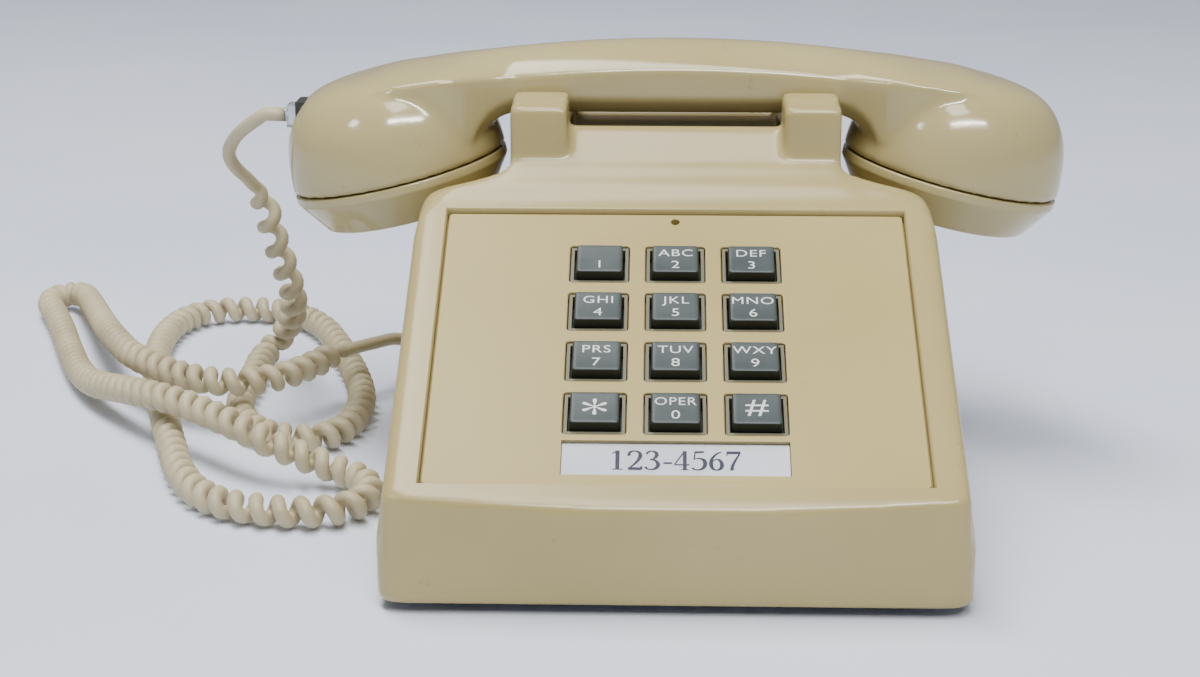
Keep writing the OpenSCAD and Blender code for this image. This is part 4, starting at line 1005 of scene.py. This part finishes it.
capLook = {
    "gap": 0.35,  # the shadow line between cap and handset
    "depth": 12.1, "face": 24.6, "rim": 31.2, "rimHeight": 2.4, "wall": 2.4,
    "skirt": 26.7, "skirtHeight": 6, "skirtWall": 1.6,  # the threaded part inside the handset
    "sides": 120, "holeRadius": 1.1,
}


def onEnd(shape, side):
    # From an end's own frame (z up its axis, 0 at the parting line) to the telephone's
    turn = side * math.radians(handsetShape["tilt"])
    points, faces = shape
    moved = [(side * handsetShape["reach"] + x * math.cos(turn) + z * math.sin(turn),
              handsetMiddle + y,
              handsetShape["partingHeight"] - x * math.sin(turn) + z * math.cos(turn))
             for x, y, z in points]
    return moved, faces


def turned(outline, sides):
    # A closed outline of (radius, height) spun round the axis; its ends lie on the axis
    rings = [[(x, y, h) for x, y in circlePoints(sides, r)] for r, h in outline[1:-1]]
    points, faces = loft(rings)
    faces = faces[1:-1]
    last = len(rings) - 1
    points += [(0, 0, outline[0][1]), (0, 0, outline[-1][1])]
    for i in range(sides):
        ahead = (i + 1) % sides
        faces.append((len(points) - 2, ahead, i))
        faces.append((len(points) - 1, last * sides + i, last * sides + ahead))
    return points, faces


def makeCap(name, node, side, holes):
    s = capLook
    top = -s["gap"]
    face = top - s["depth"]
    inside = s["skirt"] - s["skirtWall"]
    outline = roundedOutline([
        (0, face, 0), (s["face"], face, 2.2), (s["rim"], top - s["rimHeight"], 1.4),
        (s["rim"], top, 0.5), (s["skirt"], top, 0.2), (s["skirt"], s["skirtHeight"], 0.3),
        (inside, s["skirtHeight"], 0.3), (inside, top - 2, 0.4),
        (s["face"] - 1.2, face + s["wall"], 0.6), (0, face + s["wall"], 0)], 4)
    cap = newPiece(name, onEnd(turned(outline, s["sides"]), side), handsetAbs)
    drills = joined([rodShape(x, y, face - 1, face + 4, s["holeRadius"], 20) for x, y in holes])
    cutAway(cap, onEnd(drills, side))
    seatPiece(cap, 40, "handset", node)


makeCap("receiverCap", "receiver_cap", 1, [(0, 0)] + circlePoints(6, 7))
makeCap("transmitterCap", "transmitter_cap", -1,
        circlePoints(6, 5, math.pi / 6) + circlePoints(12, 10.5))
print("caps ready")


plateLook = {
    # Places are across, up the slope and out of the face
    "half": 60.3, "low": 0.6, "high": 98, "top": -1.2, "thick": 2.6, "edge": 0.35, "corner": 1.2,
    "columnPitch": 19.7, "rowPitch": 18, "lowestRow": 24.3,
    "openingHalf": (7.8, 7), "openingCorner": 0.9,
    "cardHalf": 27.5, "cardLow": 4, "cardHigh": 15.2, "cardDeep": 1.4,
    "catchAt": 95, "catchRadius": 1.2,
}


def keyPlace(column, row):
    # The middle of a key on the face
    return ((column - 1) * plateLook["columnPitch"],
            plateLook["lowestRow"] + (3 - row) * plateLook["rowPitch"])


def roundedBox(halfX, halfY, corner, between=0):
    # A rounded rectangle, with this many points along each straight side
    steps = 4
    corners = roundedOutline([(halfX, -halfY, corner), (halfX, halfY, corner),
                              (-halfX, halfY, corner), (-halfX, -halfY, corner)], steps)
    found = []
    for i, (x, y) in enumerate(corners):
        found.append((x, y))
        arcEnds = i % (steps + 1) == steps
        toX, toY = corners[(i + 1) % len(corners)]
        for k in range(between if arcEnds else 0):
            share = (k + 1) / (between + 1)
            found.append((x + (toX - x) * share, y + (toY - y) * share))
    return found


def curveShape(curve, joinWithin=0):
    # The shape that a curve or a text makes, with points joined that lie this close together
    thing = newObject("curve", curve)
    mesh = workedOut(thing)
    bpy.data.objects.remove(thing)
    if joinWithin:
        build = bmesh.new()
        build.from_mesh(mesh)
        bmesh.ops.remove_doubles(build, verts=build.verts, dist=joinWithin)
        build.to_mesh(mesh)
        build.free()
    points = [tuple(v.co) for v in mesh.vertices]
    faces = [tuple(p.vertices) for p in mesh.polygons]
    bpy.data.meshes.remove(mesh)
    return points, faces


def bevelledPlate(outlines, low, high, edge):
    # Flat outlines, the first one outside and the others holes, as a plate with soft edges
    curve = bpy.data.curves.new("plate", "CURVE")
    curve.dimensions = "2D"
    curve.fill_mode = "BOTH"
    curve.extrude = (high - low) / 2 - edge
    curve.bevel_depth = edge
    curve.bevel_resolution = 2
    curve.offset = -edge
    for outline in outlines:
        spline = curve.splines.new("POLY")
        spline.points.add(len(outline) - 1)
        for point, (x, y) in zip(spline.points, outline):
            point.co = (x, y, 0, 1)
        spline.use_cyclic_u = True
    points, faces = curveShape(curve, 0.002)
    return [(x, y, z + (low + high) / 2) for x, y, z in points], faces


def makeFaceplate():
    s = plateLook
    middle, half = (s["low"] + s["high"]) / 2, (s["high"] - s["low"]) / 2
    outlines = [[(x, y + middle) for x, y in roundedBox(s["half"], half, s["corner"])]]
    opening = roundedBox(*s["openingHalf"], s["openingCorner"])
    for row in range(4):
        for column in range(3):
            x, v = keyPlace(column, row)
            outlines.append([(x + a, v + b) for a, b in opening])
    shape = bevelledPlate(outlines, s["top"] - s["thick"], s["top"], s["edge"])
    plate = newPiece("faceplateShell", onFace(shape), plateAbs)
    pocket = boxShape((-s["cardHalf"], s["cardLow"], s["top"] - s["cardDeep"]),
                      (s["cardHalf"], s["cardHigh"], 4))
    catch = rodShape(0, s["catchAt"], -6, 4, s["catchRadius"], 24)
    cutAway(plate, joined([onFace(pocket), onFace(catch)]))
    seatPiece(plate, 12, "base", "faceplate")
    print("faceplate:", len(plate.data.polygons), "faces")


makeFaceplate()


keyLook = {
    "capHalf": (6.2, 5.4), "capTopHalf": (6.0, 5.2), "corner": 0.7, "edge": 0.55,
    "top": 1.0, "dish": 58.25, "dishDeep": 0.25,  # height, radius and depth of the hollow top
    "flangeTop": -5.9, "flangeThick": 1, "flangeHalf": (7, 6.2),
    "stemHalf": (2.5, 2.5), "stemLow": -12.9, "stemCorner": 0.3,
    # Of each kind of mark: its height, how wide it is drawn and how far up the key it stands
    "letters": (2.5, 1.25, 2.3), "longWord": (2.5, 1.12, 2.3), "figure": (2.9, 1.15, -2.2),
    "sign": (5.4, 1.25, 0.2),
    "markLift": 0.03,
}
keyWords = [("key_1", "", "1"), ("key_2", "ABC", "2"), ("key_3", "DEF", "3"),
            ("key_4", "GHI", "4"), ("key_5", "JKL", "5"), ("key_6", "MNO", "6"),
            ("key_7", "PRS", "7"), ("key_8", "TUV", "8"), ("key_9", "WXY", "9"),
            ("key_star", "", "*"), ("key_0", "OPER", "0"), ("key_hash", "", "#")]


def dishHeight(v):
    s = keyLook
    return s["top"] + s["dish"] - s["dishDeep"] - math.sqrt(s["dish"] ** 2 - v * v)


def keyShape():
    # Rings from the foot of the stem up to the flange and the cap, and in over its hollow top
    s = keyLook
    capX, capY = s["capTopHalf"]
    flangeLow = s["flangeTop"] - s["flangeThick"]
    steps = [(s["stemHalf"], s["stemLow"], s["stemCorner"]),
             (s["stemHalf"], flangeLow, s["stemCorner"]), (s["flangeHalf"], flangeLow, s["corner"]),
             (s["flangeHalf"], s["flangeTop"], s["corner"]),
             (s["capHalf"], s["flangeTop"], s["corner"])]
    rings = [[(x, y, out) for x, y in roundedBox(*half, corner, 7)] for half, out, corner in steps]
    rounds = [(s["edge"] * (1 - math.cos(angle)), s["edge"] * (math.sin(angle) - 1))
              for angle in (math.pi / 2 * k / 3 for k in range(4))]
    levels = [(capX - pull, capY - pull, s["corner"], rise) for pull, rise in rounds]
    levels += [(capX * share, capY * share, s["corner"] * share, 0)
               for share in (0.8, 0.6, 0.4, 0.2, 0.05)]
    rings += [[(x, y, dishHeight(y) + rise) for x, y in roundedBox(halfX, halfY, corner, 7)]
              for halfX, halfY, corner, rise in levels]
    return loft(rings)


def wordShape(text, height, wide):
    # Flat characters from Blender's own typeface, middle at the origin. A sign doesn't fill the
    # height of a capital, so it is stretched to it
    data = bpy.data.curves.new("word", "FONT")
    data.body = text
    data.size = height / 0.7  # a capital takes this share of the typeface's size
    data.align_x = "CENTER"
    data.space_character = 1.1
    data.resolution_u = 6
    points, faces = curveShape(data)
    across, upwards = zip(*(p[:2] for p in points))
    middle = [(min(across) + max(across)) / 2, height / 2]
    tall = 1
    if text in "*#":
        middle[1] = (min(upwards) + max(upwards)) / 2
        tall = height / (max(upwards) - min(upwards))
    return [((x - middle[0]) * wide * tall, (y - middle[1]) * tall, 0)
            for x, y, _ in points], faces


def markOnKey(text, kind):
    # Characters laid on the hollow top of a key
    height, wide, up = keyLook[kind]
    points, faces = wordShape(text, height, wide)
    return [(x, v + up, dishHeight(v + up) + keyLook["markLift"]) for x, v, _ in points], faces


def makeKeys():
    keyCap = keyShape()
    for place, (node, letters, figure) in enumerate(keyWords):
        at = keyPlace(place % 3, place // 3)
        name = node.replace("_", "")
        cap = newPiece(name + "Cap", onFace(keyCap, *at), keyPlastic)
        seatPiece(cap, 42, node, node)
        shapes = [markOnKey(figure, "sign" if figure in "*#" else "figure")]
        if letters:
            shapes.append(markOnKey(letters, "letters" if len(letters) == 3 else "longWord"))
        marks = newPiece(name + "Marks", onFace(joined(shapes), *at), markPlastic)
        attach(marks, node)
    print("keys ready")


# White ABS, moulded through the key: slightly greyed by use
markPlastic = plainMoulded("markAbsMoulded", "#e4e8e6", 0.5)
makeKeys()


cardLook = {
    "text": "123-4567",
    "figure": 6.2,  # height of a figure
    "step": 4.15,  # from one figure to the next
    "dashPull": 0.3, "spare": 0.4,  # how many steps narrower the dash and the whole number are
    "rise": 6.6, "out": -2.17,  # how far up the slope and out of the face it stands
    "nib": 0.62,  # half of a stroke's width, with the spread of the ink
    "layer": 0.004,  # keeps crossing strokes apart
}
# Each figure is strokes of (across, up, width) in shares of its height
figureStrokes = {
    "1": [[(0.3, 0, 0.13), (0.3, 1, 0.13)], [(0.3, 0.98, 0.05), (0.1, 0.84, 0.05)],
          [(0.1, 0.02, 0.045), (0.5, 0.02, 0.045)]],
    "2": [[(0.06, 0.72, 0.1), (0.12, 0.92, 0.09), (0.3, 0.98, 0.06), (0.47, 0.9, 0.1),
           (0.51, 0.72, 0.13), (0.42, 0.48, 0.1), (0.22, 0.22, 0.07), (0.06, 0.06, 0.05)],
          [(0.04, 0.06, 0.12), (0.3, 0.06, 0.12), (0.52, 0.06, 0.12), (0.56, 0.2, 0.04)]],
    "3": [[(0.08, 0.82, 0.08), (0.16, 0.94, 0.07), (0.3, 0.98, 0.06), (0.45, 0.9, 0.11),
           (0.47, 0.74, 0.12), (0.36, 0.58, 0.07), (0.22, 0.54, 0.05)],
          [(0.22, 0.54, 0.05), (0.42, 0.49, 0.08), (0.53, 0.3, 0.13), (0.46, 0.1, 0.11),
           (0.28, 0.02, 0.06), (0.1, 0.06, 0.06), (0.05, 0.16, 0.09)]],
    "4": [[(0.42, 1, 0.05), (0.03, 0.3, 0.05)], [(0.02, 0.28, 0.06), (0.6, 0.28, 0.06)],
          [(0.42, 1, 0.12), (0.42, 0, 0.12)], [(0.27, 0.02, 0.04), (0.57, 0.02, 0.04)]],
    "5": [[(0.14, 0.94, 0.1), (0.5, 0.96, 0.08)], [(0.15, 0.96, 0.05), (0.11, 0.55, 0.05)],
          [(0.11, 0.56, 0.04), (0.3, 0.62, 0.06), (0.49, 0.52, 0.12), (0.53, 0.3, 0.13),
           (0.44, 0.1, 0.1), (0.26, 0.02, 0.06), (0.1, 0.05, 0.06), (0.05, 0.14, 0.09)]],
    "6": [[(0.5, 0.97, 0.05), (0.3, 0.85, 0.07), (0.13, 0.6, 0.1), (0.09, 0.32, 0.13),
           (0.15, 0.1, 0.1), (0.3, 0.02, 0.06), (0.46, 0.1, 0.11), (0.51, 0.3, 0.13),
           (0.44, 0.51, 0.1), (0.3, 0.58, 0.05), (0.14, 0.46, 0.04)]],
    "7": [[(0.04, 0.93, 0.12), (0.56, 0.93, 0.12)], [(0.05, 0.98, 0.04), (0.03, 0.76, 0.04)],
          [(0.55, 0.92, 0.05), (0.37, 0.55, 0.08), (0.25, 0.25, 0.1), (0.21, 0, 0.12)]],
    "-": [[(0.06, 0.36, 0.08), (0.4, 0.36, 0.08)]],
}


def strokeShape(stroke, lift):
    # One stroke of a figure as a flat ribbon
    fine = splinePoints(stroke, 6) if len(stroke) > 2 else np.array(stroke, float)
    heading = rowHeadings(fine[:, :2])
    left = np.stack([-heading[:, 1], heading[:, 0]], axis=1) * fine[:, 2:] * cardLook["nib"]
    points = [(*p, lift) for pair in zip(fine[:, :2] + left, fine[:, :2] - left) for p in pair]
    faces = [(2 * j, 2 * j + 1, 2 * j + 3, 2 * j + 2) for j in range(len(fine) - 1)]
    return points, faces


def makeCardNumber():
    s = cardLook
    start = -s["step"] * (len(s["text"]) - s["spare"]) / 2
    parts = []
    for place, figure in enumerate(s["text"]):
        shift = start + s["step"] * (place - (s["dashPull"] if place > 3 else 0))
        for layer, stroke in enumerate(figureStrokes[figure]):
            points, faces = strokeShape(stroke, s["layer"] * layer)
            parts.append(([(shift + x * s["figure"], s["rise"] + y * s["figure"],
                            s["out"] + z) for x, y, z in points], faces))
    number = newPiece("cardNumber", onFace(joined(parts)), cardInk)
    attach(number, "base")


# Ink, printed: slate, matt, a little uneven
cardInk = plainMoulded("cardInkPrinted", "#34364a", 0.7)
makeCardNumber()
print("card ready")


def makeFloor():
    # Board, painted white and rolled: a cool near-white with the faintest mottling, and roller
    # marks that are drawn coarse enough to show
    paint = cloudedFinish("floorBoardPainted", hexColour("#dde5fb"), hexColour("#e6ecfd"), 200,
                          (0.5, 0.6), 6, 0.05)
    reach = 6000
    corners = [(-reach, -reach, 0), (reach, -reach, 0), (reach, reach, 0), (-reach, reach, 0)]
    newPiece("floor", (corners, [(0, 1, 2, 3)]), paint)


def makeLight(name, place, aim, size, power, colour, shineOnly=False):
    # A rectangular lamp, measured in metres; one for shine alone lights no matt surface
    data = bpy.data.lights.new(name, "AREA")
    data.shape = "RECTANGLE"
    data.size, data.size_y = size
    data.energy = power
    data.color = hexColour(colour)[:3]
    lamp = newObject(name, data)
    lamp.location = place
    lamp.visible_diffuse = not shineOnly
    lamp.rotation_euler = (Vector(aim) - Vector(place)).to_track_quat("-Z", "Y").to_euler()


makeFloor()
makeLight("overhead", (-0.2, -0.08, 1.45), (0, 0.02, 0.05), (1.6, 0.5), 35, "#fdfbf6")
frontLamp = (0.28, -0.95, 1.15), (0.05, 0, 0.08)  # place and aim
makeLight("fill", *frontLamp, (1.0, 0.3), 7, "#fffdf6")
makeLight("tube", *frontLamp, (0.9, 0.05), 28, "#fffdf6", shineOnly=True)
makeLight("window", (-1.2, -0.9, 1.2), (0, 0, 0.06), (0.26, 0.26), 7, "#eef3fb", shineOnly=True)
world = bpy.data.worlds.new("studio")
bpy.context.scene.world = world
world.use_nodes = True
sky = world.node_tree.nodes["Background"]
sky.inputs["Color"].default_value = hexColour("#dfe4ee")
sky.inputs["Strength"].default_value = 0.37
print("light ready")
